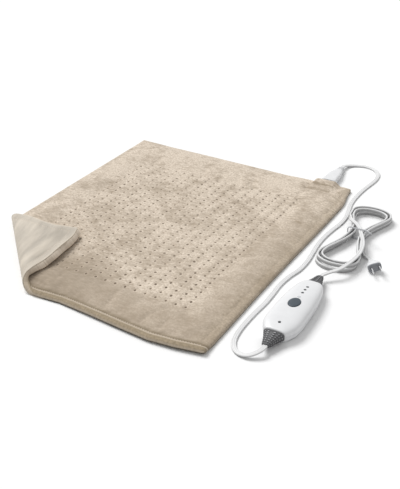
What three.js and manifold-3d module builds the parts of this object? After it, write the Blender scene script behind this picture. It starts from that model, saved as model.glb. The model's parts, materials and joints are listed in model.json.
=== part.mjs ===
// Heating pad with a plug-in hand controller, its flat lead and its tied mains cord.
// Millimetres, +Z up. The origin is the middle of the pad's underside, which lies on the floor.
// +X runs along the pad's short side, +Y along its long side towards the socket.

import * as THREE from 'three';
import { mergeVertices } from 'three/addons/utils/BufferGeometryUtils.js';
import Module from 'manifold-3d';

const wasm = await Module();
wasm.setup();

// Clearances
const SEAT_GAP = 0.3; // between pieces that touch on the real object
const WIRE_PLAY = 0.45; // above and below the heating wire, between the felts

// Pad: cloth and felt
const PAD_WIDTH = 508;
const PAD_LENGTH = 610;
const PAD_CORNER_RADIUS = 15;
const HEM_WIDTH = 12;
const HEM_THICKNESS = 3.5; // of the top cover where it is sewn down
const EDGE_SLOPE = 26; // width of the drawn-in side between the hem and the full height
const UNDERSIDE_THICKNESS = 1.2;
const PLUSH_THICKNESS = 2.6;
const PLUSH_CROWN = 1; // rise of the plush in the middle of the pad
const FELT_THICKNESS = 1.2;
const FELT_INSET = 2; // from the start of the drawn-in side
const FELT_CORNER_RADIUS = 12;

// Pad: sewn rows, with a run of heating wire between each two
const ROW_COUNT = 19;
const ROW_PITCH = 19.2;
const ROW_CENTRE_X = -3;
const ROW_FRONT_INSET = 86;
const ROW_BACK_INSET = 108;
const ROW_DEPTH = 1.2;
const WIRE_DIAMETER = 2.4;
const WIRE_SIDES = 6;
const TURN_STEPS = 5;
const RETURN_LEAD_INSET = 69; // from the back edge
const WIRE_STRAIGHT = 6; // of a wire behind its pin
const WIRE_DIVE = 14; // length over which the wires come down from the pins to the felt
const LEAD_BEND = 8;
const THERMOSTAT_LENGTH = 14;
const THERMOSTAT_WIDTH = 8;
const THERMOSTAT_HEIGHT = 2.6;
const THERMOSTAT_OFFSET = 60; // to either side of the middle

// Pad: the corner that is turned up and over
const FOLD_ALONG_LEFT = 193;
const FOLD_ALONG_FRONT = 194;
const FOLD_RADIUS = 13; // of the underside, which is outside the fold
const FOLD_WRAP = THREE.MathUtils.degToRad(173);
const FOLD_STEPS = 5;
const FLAP_CURL = 0.0018; // turn per millimetre past the fold
const FLAP_STEP = 46;
const WIRE_FOLD_CLEARANCE = 6;

// Socket in its pocket at the back edge
const SOCKET_INSET = 63; // from the right edge to the middle of the socket
const SOCKET_WIDTH = 38;
const SOCKET_LENGTH = 37;
const SOCKET_HEIGHT = 11;
const SOCKET_EDGE_INSET = 1;
const SOCKET_DEPTH = 24;
const POCKET_SLOPE = 14;
const POCKET_SIDE_ROOM = 1;
const PIN_COUNT = 3;
const PIN_PITCH = 7;
const PIN_RADIUS = 1.2;
const PIN_TAIL = 4; // behind the housing
const PIN_REACH = 16; // into the socket

// Connector that pulls out of the socket
const NOSE_WIDTH = 24;
const NOSE_HEIGHT = 7;
const NOSE_TIP_ROOM = 2.5; // between the nose and the bottom of the socket
const SLEEVE_WALL = 0.7;
const SLEEVE_LENGTH = 17;
const GRIP_WIDTH = 30;
const GRIP_HEIGHT = 13;
const GRIP_LENGTH = 64;
const GRIP_WAIST_PLACE = 29; // from the front of the grip
const GRIP_WAIST_WIDTH = 27;
const GRIP_TAIL_WIDTH = 16;
const GRIP_TAIL_HEIGHT = 10;
const GRIP_EDGE_GAP = 0.8;
const LEAD_RELIEF_LENGTH = 15.7;
const LEAD_RELIEF_STEP = 1.6; // down from the tail of the grip

// Hand controller
const CONTROLLER_LENGTH = 149;
const CONTROLLER_WIDTH = 58;
const CONTROLLER_HEIGHT = 25;
const CONTROLLER_END_HEIGHT = 20;
const SHELL_WALL = 2.2;
const SHELL_SIDES = 28;
const SHELL_STATIONS = 12;
const PARTING_HEIGHT = 11;
const SOLE_BULGE = 0.8; // of the underside before it is cut flat
const UPPER_ROUNDNESS = 3.3;
const LOWER_ROUNDNESS = 3.2;
const CONTROLLER_FROM_CORNER = [60, -453.5];

// Button, switch and lamps
const BUTTON_WIDTH = 18;
const BUTTON_LENGTH = 25;
const BUTTON_PLACE = -3.5; // along the controller, from its middle
const BUTTON_CLEARANCE = 0.4;
const BUTTON_RISE = 1.2; // over the shell
const BUTTON_EDGE_DROP = 0.9; // of the rounded edge under the top
const BUTTON_EDGE_ROUND = 0.8;
const BUTTON_CROWN = 0.3;
const BUTTON_CROWN_INSET = 4;
const BUTTON_LIP = 1.5;
const BUTTON_LIP_THICKNESS = 1.4;
const BUTTON_LIP_DROP = 0.8; // of the lip under the shell's inner face
const BUTTON_TRAVEL = 0.8;
const BUTTON_STEM_RADIUS = 3;
const SWITCH_SIZE = 6;
const SWITCH_HEIGHT = 3.5;
const PLUNGER_RADIUS = 1.6;
const PLUNGER_LENGTH = 2.6;
const PLUNGER_BORE_DEPTH = 2.5;
const PLUNGER_CLEARANCE = 0.4;
const PLUNGER_FLOOR_ROOM = 0.2; // under the plunger when it is pressed
const LAMP_BASE_RADIUS = 2.8;
const LAMP_BASE_HEIGHT = 2.1;
const LAMP_RADIUS = 2;
const LAMP_CLEARANCE = 0.4;
const LEVEL_LAMP_COUNT = 3;
const LEVEL_LAMP_INSET = 27; // of the last one, from the rear end
const LEVEL_LAMP_PITCH = 10;
const POWER_LAMP_INSET = 17; // from the front end

// Board and the parts on it
const BOARD_WIDTH = 24;
const BOARD_FRONT_ROOM = 7.5; // to the front strain relief
const BOARD_BACK_ROOM = 18.3; // to the rear strain relief
const BOARD_THICKNESS = 1.6;
const BOARD_HEIGHT = 7; // of its underside
const POST_RADIUS = 2;
const POST_SPACING = 20;
const FRONT_POST_INSET = 28; // from the front end of the board
const BACK_POST_INSET = 12; // from its back end
const FUSE_PLACE = [-7, -39];
const FUSE_RADIUS = 2.4;
const FUSE_LENGTH = 12;
const TRIAC_PLACE = [5.5, -32];
const TRIAC_SIZE = [10, 15, 4.5];
const CAPACITOR_LAMP_ROOM = 0.8; // beside the row of lamps
const CAPACITOR_PLACE = 13; // along the controller, from its middle
const CAPACITOR_SIZE = [8, 13, 10];
const RESISTOR_PLACE = [-8, 9];
const RESISTOR_RADIUS = 1.3;
const RESISTOR_LENGTH = 9;
const INNER_WIRE_RADIUS = 1;
const PAD_WIRE_SPACING = 12;
const MAINS_WIRE_SPACING = 8;
const INNER_WIRE_OVERLAP = 6; // of a wire over the board

// Screws that hold the shells together
const SCREW_HEAD_RADIUS = 2.5;
const SCREW_HEAD_HEIGHT = 2;
const SCREW_HEAD_SINK = 0.6;
const SCREW_RADIUS = 1.25;
const SCREW_LENGTH = 14.4;
const SCREW_TIP_ROOM = 0.5;
const LOWER_BOSS_RADIUS = 4.2;
const UPPER_BOSS_RADIUS = 3.5;
const FRONT_SCREW_INSET = 28.5; // from the front end
const FRONT_SCREW_SPACING = 36;
const REAR_SCREW_INSET = 18.5; // from the rear end
const REAR_SCREW_SPACING = 24;
const SCREW_HEAD_CLEARANCE = 0.5;

// Strain reliefs of the controller
const FRONT_RELIEF_WIDTH = 33;
const FRONT_RELIEF_HEIGHT = 17;
const FRONT_RELIEF_LENGTH = 29.7;
const FRONT_RELIEF_RIBS = 6;
const FRONT_NECK_WIDTH = 18;
const REAR_RELIEF_WIDTH = 27;
const REAR_RELIEF_HEIGHT = 15;
const REAR_RELIEF_LENGTH = 28.7;
const REAR_RELIEF_RIBS = 5;
const REAR_NECK_WIDTH = 10;
const NECK_HEIGHT = 8;
const RELIEF_TIP_MARGIN = 2; // round the cord, on each side
const RELIEF_RIB_DEPTH = 0.9;
const RELIEF_SIDES = 16;
const FLANGE_MARGIN = 2.2;
const FLANGE_THICKNESS = 2.5;

// Cords
const LEAD_WIDTH = 8;
const MAINS_WIDTH = 7;
const CORD_THICKNESS = 3.2;
const STEP_WIDTHS = 2.5; // length of a step, in cord widths

// Hank of the mains cord: loops with a far and a near lobe, drawn in at the waist
const HANK_FROM_CORNER = [61.5, -182];
const HANK_WAIST = 17; // half width of the outermost loop at the waist
const HANK_STEP = 5.4; // from one loop to the next
const HANK_FAR_LENGTH = 108;
const HANK_NEAR_LENGTH = 127;
const HANK_FAR_SWELL = 70;
const HANK_NEAR_SWELL = 75;
const HANK_SWELL_DRAW = 1.2; // loss of swell for each millimetre of inset
const HANK_LENGTH_DRAW = 1.6; // loss of length for each millimetre of inset
const HANK_LOWER_LENGTH = 8; // by which the lower layer's lobes reach further
const HANK_LOWER_SWELL = 5;
const HANK_LOOPS_IN = 2;
const HANK_LOOPS = 3.5;
const HANK_JOIN = 0.116; // share of the first loop that the crossing run replaces
const HANK_LOOP_STEPS = 24;
const HANK_CLIMB = 0.07; // half of the climb, in loops
const HANK_LAYER_GAP = 0.6;
const HANK_FLOOR_GAP = 0.1;
const HANK_WAIST_LIFT = 1.4;
const HANK_LIFT_REACH = 25;
const CROSSING_HEIGHT = 18.3; // of the run that crosses over the waist
const TIE_THICKNESS = 0.9;
const TIE_WIDTH = 4;
const TIE_ROOM = 0.8;
const TIE_CORNER_RADIUS = 3;

// Mains plug
const PLUG_FACE_PLACE = [127, -279.5, 11]; // middle of its face, from the corner
const PLUG_HEADING = new THREE.Vector2(0.49, -0.87).normalize();
const PLUG_PITCH = THREE.MathUtils.degToRad(12); // blades up
const PLUG_ROLL = THREE.MathUtils.degToRad(16);
const PLUG_WIDTH = 23;
const PLUG_HEIGHT = 15;
const PLUG_LENGTH = 24;
const PLUG_SHOULDER_WIDTH = 14.4;
const PLUG_SHOULDER_HEIGHT = 10.8;
const PLUG_SHOULDER_LENGTH = 5;
const PLUG_SHOULDER_STEP = 2.2; // down to the strain relief
const PLUG_TAPER_PLACE = 11; // behind the face, where the body starts to narrow
const PLUG_RELIEF_LENGTH = 12;
const PLUG_FACE_THICKNESS = 2.5;
const PLUG_FACE_MARGIN = 0.5;
const BLADE_WIDTH = 6.35;
const BLADE_THICKNESS = 1.5;
const BLADE_LENGTH = 17;
const BLADE_SPACING = 12.7;

// Finishes
const BEIGE_PLUSH = { color: 0xc4b398, roughness: 0.95, metalness: 0 };
const CREAM_CLOTH = { color: 0xe4dac7, roughness: 0.8, metalness: 0 };
const PALE_FELT = { color: 0xe9e5da, roughness: 1, metalness: 0 };
const WHITE_PLASTIC = { color: 0xf2f2f2, roughness: 0.35, metalness: 0 };
const WHITE_CORD = { color: 0xf0f0f0, roughness: 0.5, metalness: 0 };
const DARK_RUBBER = { color: 0x5c6066, roughness: 0.7, metalness: 0 };
const SLATE_PLASTIC = { color: 0x5f6f80, roughness: 0.45, metalness: 0 };
const GREY_PLASTIC = { color: 0x8d9094, roughness: 0.5, metalness: 0 };
const DARK_LENS = { color: 0x33373c, roughness: 0.2, metalness: 0 };
const BRIGHT_METAL = { color: 0xc9cbd0, roughness: 0.25, metalness: 1 };
const BRASS_METAL = { color: 0xb8985a, roughness: 0.3, metalness: 1 };
const GREEN_BOARD = { color: 0x2f6b45, roughness: 0.5, metalness: 0 };
const AMBER_PLASTIC = { color: 0xb07a3a, roughness: 0.3, metalness: 0 };
const BEIGE_CERAMIC = { color: 0xcbb894, roughness: 0.7, metalness: 0 };
const BLACK_PLASTIC = { color: 0x1d1e20, roughness: 0.5, metalness: 0 };

const UP = new THREE.Vector3(0, 0, 1);
const CORNER_X = PAD_WIDTH / 2;
const CORNER_Y = PAD_LENGTH / 2;
const lerp = THREE.MathUtils.lerp;
const clamp = THREE.MathUtils.clamp;
const point = (x, y, z) => new THREE.Vector3(x, y, z);
const series = (count, pick) => Array.from({ length: count }, (_, i) => pick(i));

// Turns points measured from the pad's back right corner into the object's frame
const fromCorner = (places) => places.map(([x, y, z]) => point(CORNER_X + x, CORNER_Y + y, z));

// A geometry of shared points and triangles, with its faces turned outwards
function closedGeometry(points, faces) {
  let volume = 0;
  for (const [a, b, c] of faces) {
    volume += points[a].dot(new THREE.Vector3().crossVectors(points[b], points[c]));
  }
  const outward = volume < 0 ? faces.map(([a, b, c]) => [a, c, b]) : faces;
  const geometry = new THREE.BufferGeometry();
  const numbers = points.flatMap((p) => p.toArray());
  geometry.setAttribute('position', new THREE.Float32BufferAttribute(numbers, 3));
  geometry.setIndex(outward.flat());
  geometry.computeVertexNormals();
  return geometry;
}

// A closed solid through rings of as many points each
function loft(rings) {
  const sides = rings[0].length;
  const last = (rings.length - 1) * sides;
  const faces = [];
  for (let start = 0; start < last; start += sides) {
    for (let j = 0; j < sides; j += 1) {
      const a = start + j;
      const b = start + ((j + 1) % sides);
      faces.push([a, b, b + sides], [a, b + sides, a + sides]);
    }
  }
  for (let j = 1; j + 1 < sides; j += 1) {
    faces.push([0, j + 1, j], [last, last + j, last + j + 1]);
  }
  return closedGeometry(rings.flat(), faces);
}

// An upright ring across Y, rounder or squarer by its two roundness powers
function ovalRing({ y, z, halfWidth, up, down = up, roundUp = 3, roundDown = roundUp, sides }) {
  return series(sides, (i) => {
    const turn = (2 * Math.PI * i) / sides;
    const c = Math.cos(turn);
    const s = Math.sin(turn);
    const power = 2 / (s > 0 ? roundUp : roundDown);
    const across = Math.sign(c) * Math.abs(c) ** power;
    const rise = Math.sign(s) * Math.abs(s) ** power;
    return point(halfWidth * across, y, z + (s > 0 ? up : down) * rise);
  });
}

// A level ring, for pieces that stand upright
function levelRing(z, halfWidth, halfLength, sides) {
  return series(sides, (i) => {
    const turn = (2 * Math.PI * i) / sides;
    return point(halfWidth * Math.cos(turn), halfLength * Math.sin(turn), z);
  });
}

// A tube along points, as a flat or round section that can roll about the tube
function sweep(points, section, rolls = points.map(() => 0)) {
  const rings = points.map((p, i) => {
    const before = points[Math.max(i - 1, 0)];
    const after = points[Math.min(i + 1, points.length - 1)];
    const along = after.clone().sub(before).normalize();
    const across = new THREE.Vector3().crossVectors(along, UP).normalize();
    const upward = new THREE.Vector3().crossVectors(across, along);
    const c = Math.cos(rolls[i]);
    const s = Math.sin(rolls[i]);
    return section.map(([u, v]) => p.clone()
      .addScaledVector(across, u * c - v * s)
      .addScaledVector(upward, u * s + v * c));
  });
  return loft(rings);
}

const roundSection = (radius, sides) => series(sides, (i) => {
  const turn = (2 * Math.PI * (i + 0.5)) / sides;
  return [radius * Math.cos(turn), radius * Math.sin(turn)];
});

function box(x0, x1, y0, y1, z0, z1) {
  const geometry = new THREE.BoxGeometry(x1 - x0, y1 - y0, z1 - z0);
  return geometry.translate((x0 + x1) / 2, (y0 + y1) / 2, (z0 + z1) / 2);
}

function uprightRod(x, y, z0, z1, radius, sides = 16) {
  const geometry = new THREE.CylinderGeometry(radius, radius, z1 - z0, sides);
  return geometry.rotateX(Math.PI / 2).translate(x, y, (z0 + z1) / 2);
}

function levelRod(x, y0, y1, z, radius, sides = 12) {
  const geometry = new THREE.CylinderGeometry(radius, radius, y1 - y0, sides);
  return geometry.translate(x, (y0 + y1) / 2, z);
}

// Joins and cuts
function toSolid(geometry) {
  const bare = geometry.clone();
  bare.deleteAttribute('normal');
  bare.deleteAttribute('uv');
  const merged = mergeVertices(bare);
  const vertProperties = new Float32Array(merged.attributes.position.array);
  const triVerts = new Uint32Array(merged.index.array);
  return new wasm.Manifold(new wasm.Mesh({ numProp: 3, vertProperties, triVerts }));
}

function toGeometry(solid) {
  const mesh = solid.getMesh();
  const geometry = new THREE.BufferGeometry();
  const numbers = new Float32Array(mesh.vertProperties);
  geometry.setAttribute('position', new THREE.BufferAttribute(numbers, mesh.numProp));
  geometry.setIndex(Array.from(mesh.triVerts));
  geometry.computeVertexNormals();
  return geometry;
}

const join = (solid, tools) => tools.reduce((whole, tool) => whole.add(toSolid(tool)), solid);
const cut = (solid, tools) => tools.reduce((rest, tool) => rest.subtract(toSolid(tool)), solid);

function addPiece(parent, name, geometry, finish) {
  const mesh = new THREE.Mesh(geometry, new THREE.MeshStandardMaterial(finish));
  mesh.name = name;
  parent.add(mesh);
}

// Heights of the layers in the pad
const lowerFeltBottom = UNDERSIDE_THICKNESS + SEAT_GAP;
const lowerFeltTop = lowerFeltBottom + FELT_THICKNESS;
const wireHeight = lowerFeltTop + WIRE_PLAY + WIRE_DIAMETER / 2;
const upperFeltBottom = wireHeight + WIRE_DIAMETER / 2 + WIRE_PLAY;
const upperFeltTop = upperFeltBottom + FELT_THICKNESS;
const plushBottom = upperFeltTop + SEAT_GAP;
const hemBottom = UNDERSIDE_THICKNESS + SEAT_GAP;

// Places of the edge, the rows, the runs of wire and the socket
const hemX = CORNER_X - HEM_WIDTH;
const hemY = CORNER_Y - HEM_WIDTH;
const fullX = hemX - EDGE_SLOPE;
const fullY = hemY - EDGE_SLOPE;
const rowFront = -CORNER_Y + ROW_FRONT_INSET;
const rowBack = CORNER_Y - ROW_BACK_INSET;
const rowX = series(ROW_COUNT, (i) => ROW_CENTRE_X + (i - (ROW_COUNT - 1) / 2) * ROW_PITCH);
const runX = series(ROW_COUNT - 1, (i) => (rowX[i] + rowX[i + 1]) / 2).reverse();
const socketX = CORNER_X - SOCKET_INSET;
const socketBack = CORNER_Y - SOCKET_EDGE_INSET;
const socketFront = socketBack - SOCKET_LENGTH;
const socketFloor = socketBack - SOCKET_DEPTH;
const socketBottom = UNDERSIDE_THICKNESS + SEAT_GAP;
const socketTop = socketBottom + SOCKET_HEIGHT;
const socketHeight = (socketBottom + socketTop) / 2;
const pinX = series(PIN_COUNT, (i) => socketX + (i - (PIN_COUNT - 1) / 2) * PIN_PITCH);
const pinFront = socketFront - PIN_TAIL;
const pocketHalf = SOCKET_WIDTH / 2 + POCKET_SIDE_ROOM;
const pocketFull = Math.min(socketFront, fullY);
const pocketBottom = socketTop + SEAT_GAP;

// The fold turns everything past its line up and over, through straight strips between stations
const foldPoint = new THREE.Vector2(-CORNER_X, -CORNER_Y + FOLD_ALONG_LEFT);
const foldAcross = new THREE.Vector2(-FOLD_ALONG_LEFT, -FOLD_ALONG_FRONT).normalize();
const foldReach = foldAcross.dot(new THREE.Vector2(0, -FOLD_ALONG_LEFT));
const pastFold = (x, y) => foldAcross.x * (x - foldPoint.x) + foldAcross.y * (y - foldPoint.y);

function makeFoldStations() {
  const stations = series(FOLD_STEPS + 1, (i) => {
    const turn = (FOLD_WRAP * i) / FOLD_STEPS;
    const across = FOLD_RADIUS * Math.sin(turn);
    const height = FOLD_RADIUS * (1 - Math.cos(turn));
    return { distance: FOLD_RADIUS * turn, turn, across, height };
  });
  while (stations.at(-1).distance < foldReach) {
    const last = stations.at(-1);
    const middle = last.turn + (FLAP_CURL * FLAP_STEP) / 2;
    stations.push({
      distance: last.distance + FLAP_STEP,
      turn: last.turn + FLAP_CURL * FLAP_STEP,
      across: last.across + FLAP_STEP * Math.cos(middle),
      height: last.height + FLAP_STEP * Math.sin(middle),
    });
  }
  return stations;
}
const foldStations = makeFoldStations();

function bend(x, y, z) {
  const distance = pastFold(x, y);
  if (distance <= 0) {
    return point(x, y, z);
  }
  const next = Math.max(1, foldStations.findIndex((station) => station.distance >= distance));
  const a = foldStations[next - 1];
  const b = foldStations[next];
  const share = (distance - a.distance) / (b.distance - a.distance);
  const leanAcross = lerp(-Math.sin(a.turn), -Math.sin(b.turn), share);
  const leanUp = lerp(Math.cos(a.turn), Math.cos(b.turn), share);
  const across = lerp(a.across, b.across, share) + z * leanAcross - distance;
  const height = lerp(a.height, b.height, share) + z * leanUp;
  return point(x + foldAcross.x * across, y + foldAcross.y * across, height);
}

// The part of a flat polygon on the positive side of a line
const ON_LINE = 1e-6;
function keepSide(polygon, distance) {
  const kept = [];
  polygon.forEach((p, i) => {
    const q = polygon[(i + 1) % polygon.length];
    const dp = distance(p);
    const dq = distance(q);
    if (dp >= -ON_LINE) {
      kept.push(p);
    }
    if (Math.abs(dp) > ON_LINE && Math.abs(dq) > ON_LINE && dp * dq < 0) {
      kept.push(p.clone().lerp(q, dp / (dp - dq)));
    }
  });
  return kept;
}

function roundedOutline(x0, x1, y0, y1, radius, arcSteps = 5) {
  const centres = [[x1 - radius, y0 + radius], [x1 - radius, y1 - radius]];
  centres.push([x0 + radius, y1 - radius], [x0 + radius, y0 + radius]);
  return centres.flatMap(([x, y], k) => series(arcSteps + 1, (i) => {
    const turn = (Math.PI / 2) * (k - 1 + i / arcSteps);
    return new THREE.Vector2(x + radius * Math.cos(turn), y + radius * Math.sin(turn));
  }));
}

// Cloth or felt: a grid clipped to its outline and split along the fold, with two faces and an edge
function sheetSolid(outline, xLines, yLines, underside, upperSide) {
  let cells = [];
  for (let i = 0; i + 1 < xLines.length; i += 1) {
    for (let j = 0; j + 1 < yLines.length; j += 1) {
      cells.push([[i, j], [i + 1, j], [i + 1, j + 1], [i, j + 1]]
        .map(([k, l]) => new THREE.Vector2(xLines[k], yLines[l])));
    }
  }
  outline.forEach((p, k) => {
    const edge = outline[(k + 1) % outline.length].clone().sub(p).normalize();
    const inside = (q) => edge.x * (q.y - p.y) - edge.y * (q.x - p.x);
    cells = cells.map((cell) => keepSide(cell, inside)).filter((cell) => cell.length > 2);
  });
  foldStations.forEach((station) => {
    const beyond = (q) => pastFold(q.x, q.y) - station.distance;
    const before = (q) => -beyond(q);
    cells = cells.flatMap((cell) => [keepSide(cell, before), keepSide(cell, beyond)]);
    cells = cells.filter((cell) => cell.length > 2);
  });

  const places = [];
  const known = new Map();
  const placeOf = (p) => {
    const key = `${Math.round(p.x * 1e4)},${Math.round(p.y * 1e4)}`;
    if (!known.has(key)) {
      known.set(key, places.length);
      places.push(p);
    }
    return known.get(key);
  };
  const loops = cells.map((cell) => cell.map(placeOf).filter((v, i, all) => v !== all.at(i - 1)));
  const edges = new Set();
  loops.forEach((loop) => loop.forEach((v, i) => edges.add(`${v} ${loop[(i + 1) % loop.length]}`)));
  const upper = (v) => v + places.length;
  const faces = [];
  loops.forEach((loop) => {
    for (let i = 1; i + 1 < loop.length; i += 1) {
      faces.push([upper(loop[0]), upper(loop[i]), upper(loop[i + 1])]);
      faces.push([loop[0], loop[i + 1], loop[i]]);
    }
    loop.forEach((a, i) => {
      const b = loop[(i + 1) % loop.length];
      if (!edges.has(`${b} ${a}`)) {
        faces.push([a, b, upper(b)], [a, upper(b), upper(a)]);
      }
    });
  });
  const bottomPoints = places.map((p) => bend(p.x, p.y, underside(p.x, p.y)));
  const topPoints = places.map((p) => bend(p.x, p.y, upperSide(p.x, p.y)));
  return closedGeometry([...bottomPoints, ...topPoints], faces);
}

const evenLines = (from, to, count) => series(count + 1, (i) => lerp(from, to, i / count));
const inOrder = (lines) => [...new Set(lines)].sort((a, b) => a - b);

// Top cover: plush with a sewn-down hem, drawn-in sides, a low crown, sewn rows and the pocket
function topCover() {
  const sideShare = (x, y) => {
    const shareX = clamp((hemX - Math.abs(x)) / EDGE_SLOPE, 0, 1);
    const shareY = clamp((hemY - Math.abs(y)) / EDGE_SLOPE, 0, 1);
    return shareX * shareY;
  };
  const pocketShare = (x, y) => {
    const shareX = clamp(1 - (Math.abs(x - socketX) - pocketHalf) / POCKET_SLOPE, 0, 1);
    return shareX * clamp(1 - (pocketFull - y) / POCKET_SLOPE, 0, 1);
  };
  const rowShare = (x, y) => {
    const nearest = rowX.reduce((least, row) => Math.min(least, Math.abs(x - row)), ROW_PITCH);
    const frontShare = clamp((y + fullY) / (rowFront + fullY), 0, 1);
    const backShare = clamp((pocketFull - POCKET_SLOPE - y) / (pocketFull - POCKET_SLOPE - rowBack), 0, 1);
    return clamp(1 - nearest / (ROW_PITCH / 2), 0, 1) * frontShare * backShare;
  };
  const crown = (x, y) => Math.max(0, 1 - (x / fullX) ** 2) * Math.max(0, 1 - (y / fullY) ** 2);
  const underside = (x, y) => {
    const open = lerp(hemBottom, plushBottom, sideShare(x, y));
    return lerp(open, pocketBottom, pocketShare(x, y));
  };
  const upperSide = (x, y) => {
    const side = sideShare(x, y);
    const pocket = pocketShare(x, y);
    const thickness = lerp(lerp(HEM_THICKNESS, PLUSH_THICKNESS, side), PLUSH_THICKNESS, pocket);
    return underside(x, y) + thickness + PLUSH_CROWN * crown(x, y) - ROW_DEPTH * rowShare(x, y);
  };
  const pocketX = [pocketHalf, pocketHalf + POCKET_SLOPE].flatMap((d) => [socketX - d, socketX + d]);
  const xLines = [-CORNER_X, -hemX, -fullX, ...rowX, ...runX, ...pocketX, fullX, hemX, CORNER_X];
  const yLines = [-CORNER_Y, -hemY, -fullY, rowFront, (rowFront + rowBack) / 2, rowBack];
  yLines.push(pocketFull - POCKET_SLOPE, pocketFull, fullY, hemY, CORNER_Y);
  const outline = roundedOutline(-CORNER_X, CORNER_X, -CORNER_Y, CORNER_Y, PAD_CORNER_RADIUS);
  return sheetSolid(outline, inOrder(xLines), inOrder(yLines), underside, upperSide);
}

function bottomCover() {
  const outline = roundedOutline(-CORNER_X, CORNER_X, -CORNER_Y, CORNER_Y, PAD_CORNER_RADIUS);
  const xLines = evenLines(-CORNER_X, CORNER_X, 5);
  const yLines = evenLines(-CORNER_Y, CORNER_Y, 6);
  return sheetSolid(outline, xLines, yLines, () => 0, () => UNDERSIDE_THICKNESS);
}

const feltX = fullX - FELT_INSET;
const feltFront = -fullY + FELT_INSET;
const feltBack = pinFront - WIRE_DIVE - FELT_INSET;

function felt(bottom) {
  const outline = roundedOutline(-feltX, feltX, feltFront, feltBack, FELT_CORNER_RADIUS, 3);
  const xLines = evenLines(-feltX, feltX, 3);
  const yLines = evenLines(feltFront, feltBack, 3);
  return sheetSolid(outline, xLines, yLines, () => bottom, () => bottom + FELT_THICKNESS);
}

// Heating wire: from one pin, through runs between the sewn rows, to the return lead
const turnRadius = ROW_PITCH / 2;
const wireBack = rowBack;
const foldLineAt = (x) => foldPoint.y - (foldAcross.x * (x - foldPoint.x)) / foldAcross.y;
const wireFront = Math.max(rowFront, foldLineAt(runX.at(-1)) + WIRE_FOLD_CLEARANCE) + turnRadius;
const wireEnd = wireBack + turnRadius * 1.8;
const returnY = CORNER_Y - RETURN_LEAD_INSET;

function pinTail(x) {
  return [
    point(x, pinFront - SEAT_GAP, socketHeight),
    point(x, pinFront - WIRE_STRAIGHT, socketHeight),
    point(x, pinFront - WIRE_DIVE, wireHeight),
  ];
}

function heatingWire() {
  const startX = pinX.at(-1);
  const points = pinTail(startX);
  const swing = [[0.95, 0.7], [0.74, 0.45], [0.38, 0.3], [0.1, 0.16]];
  for (const [shareX, shareY] of swing) {
    const x = lerp(runX[0], startX, shareX);
    points.push(point(x, lerp(wireBack, pinFront - WIRE_DIVE, shareY), wireHeight));
  }
  runX.forEach((x, i) => {
    const downwards = i % 2 === 0;
    points.push(point(x, downwards ? wireBack : wireFront, wireHeight));
    const end = downwards ? wireFront : wireBack;
    if (i === runX.length - 1) {
      points.push(point(x, wireEnd - turnRadius / 2, wireHeight), point(x, wireEnd, wireHeight));
      return;
    }
    points.push(point(x, end, wireHeight));
    const side = downwards ? -1 : 1;
    for (let k = 1; k < TURN_STEPS; k += 1) {
      const turn = (Math.PI * k) / TURN_STEPS;
      const across = turnRadius * (1 - Math.cos(turn));
      points.push(point(x - across, end + side * turnRadius * Math.sin(turn), wireHeight));
    }
  });
  return sweep(points, roundSection(WIRE_DIAMETER / 2, WIRE_SIDES));
}

function returnLead() {
  const points = pinTail(pinX[0]);
  const endX = runX.at(-1);
  points.push(point(pinX[0] - LEAD_BEND, returnY + LEAD_BEND / 4, wireHeight));
  points.push(point(pinX[0] - 2 * LEAD_BEND, returnY, wireHeight));
  points.push(point(endX + LEAD_BEND, returnY, wireHeight));
  points.push(point(endX + LEAD_BEND / 4, returnY - LEAD_BEND / 4, wireHeight));
  points.push(point(endX, returnY - LEAD_BEND, wireHeight));
  points.push(point(endX, wireEnd + SEAT_GAP, wireHeight));
  return sweep(points, roundSection(WIRE_DIAMETER / 2, WIRE_SIDES));
}

function thermostat(x) {
  const back = returnY - WIRE_DIAMETER / 2 - SEAT_GAP;
  const bottom = lowerFeltTop + SEAT_GAP;
  const half = THERMOSTAT_LENGTH / 2;
  return box(x - half, x + half, back - THERMOSTAT_WIDTH, back, bottom, bottom + THERMOSTAT_HEIGHT);
}

function makePad() {
  const pad = new THREE.Group();
  addPiece(pad, 'bottom_cover', bottomCover(), CREAM_CLOTH);
  addPiece(pad, 'lower_felt', felt(lowerFeltBottom), PALE_FELT);
  addPiece(pad, 'heating_wire', heatingWire(), WHITE_CORD);
  addPiece(pad, 'return_lead', returnLead(), WHITE_CORD);
  addPiece(pad, 'thermostat_1', thermostat(-THERMOSTAT_OFFSET), BLACK_PLASTIC);
  addPiece(pad, 'thermostat_2', thermostat(THERMOSTAT_OFFSET), BLACK_PLASTIC);
  addPiece(pad, 'upper_felt', felt(upperFeltBottom), PALE_FELT);
  addPiece(pad, 'top_cover', topCover(), BEIGE_PLUSH);
  return pad;
}

// Socket: a housing with pins through its inner wall
const noseHalf = NOSE_WIDTH / 2;
const noseTip = socketFloor + NOSE_TIP_ROOM;
const noseBack = CORNER_Y + GRIP_EDGE_GAP;

function socketHousing() {
  const half = SOCKET_WIDTH / 2;
  const room = noseHalf + SEAT_GAP;
  const roomUp = NOSE_HEIGHT / 2 + SEAT_GAP;
  const block = box(socketX - half, socketX + half, socketFront, socketBack, socketBottom, socketTop);
  const hollow = box(socketX - room, socketX + room, socketFloor, socketBack + 1,
    socketHeight - roomUp, socketHeight + roomUp);
  const holes = pinX.map((x) => levelRod(x, socketFront - 1, socketFloor + 1, socketHeight,
    PIN_RADIUS + SEAT_GAP));
  return toGeometry(cut(toSolid(block), [hollow, ...holes]));
}

function makeSocket() {
  const socket = new THREE.Group();
  addPiece(socket, 'socket_housing', socketHousing(), WHITE_PLASTIC);
  pinX.forEach((x, i) => {
    const pin = levelRod(x, pinFront, socketFloor + PIN_REACH, socketHeight, PIN_RADIUS);
    addPiece(socket, `socket_pin_${i + 1}`, pin, BRASS_METAL);
  });
  return socket;
}

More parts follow.
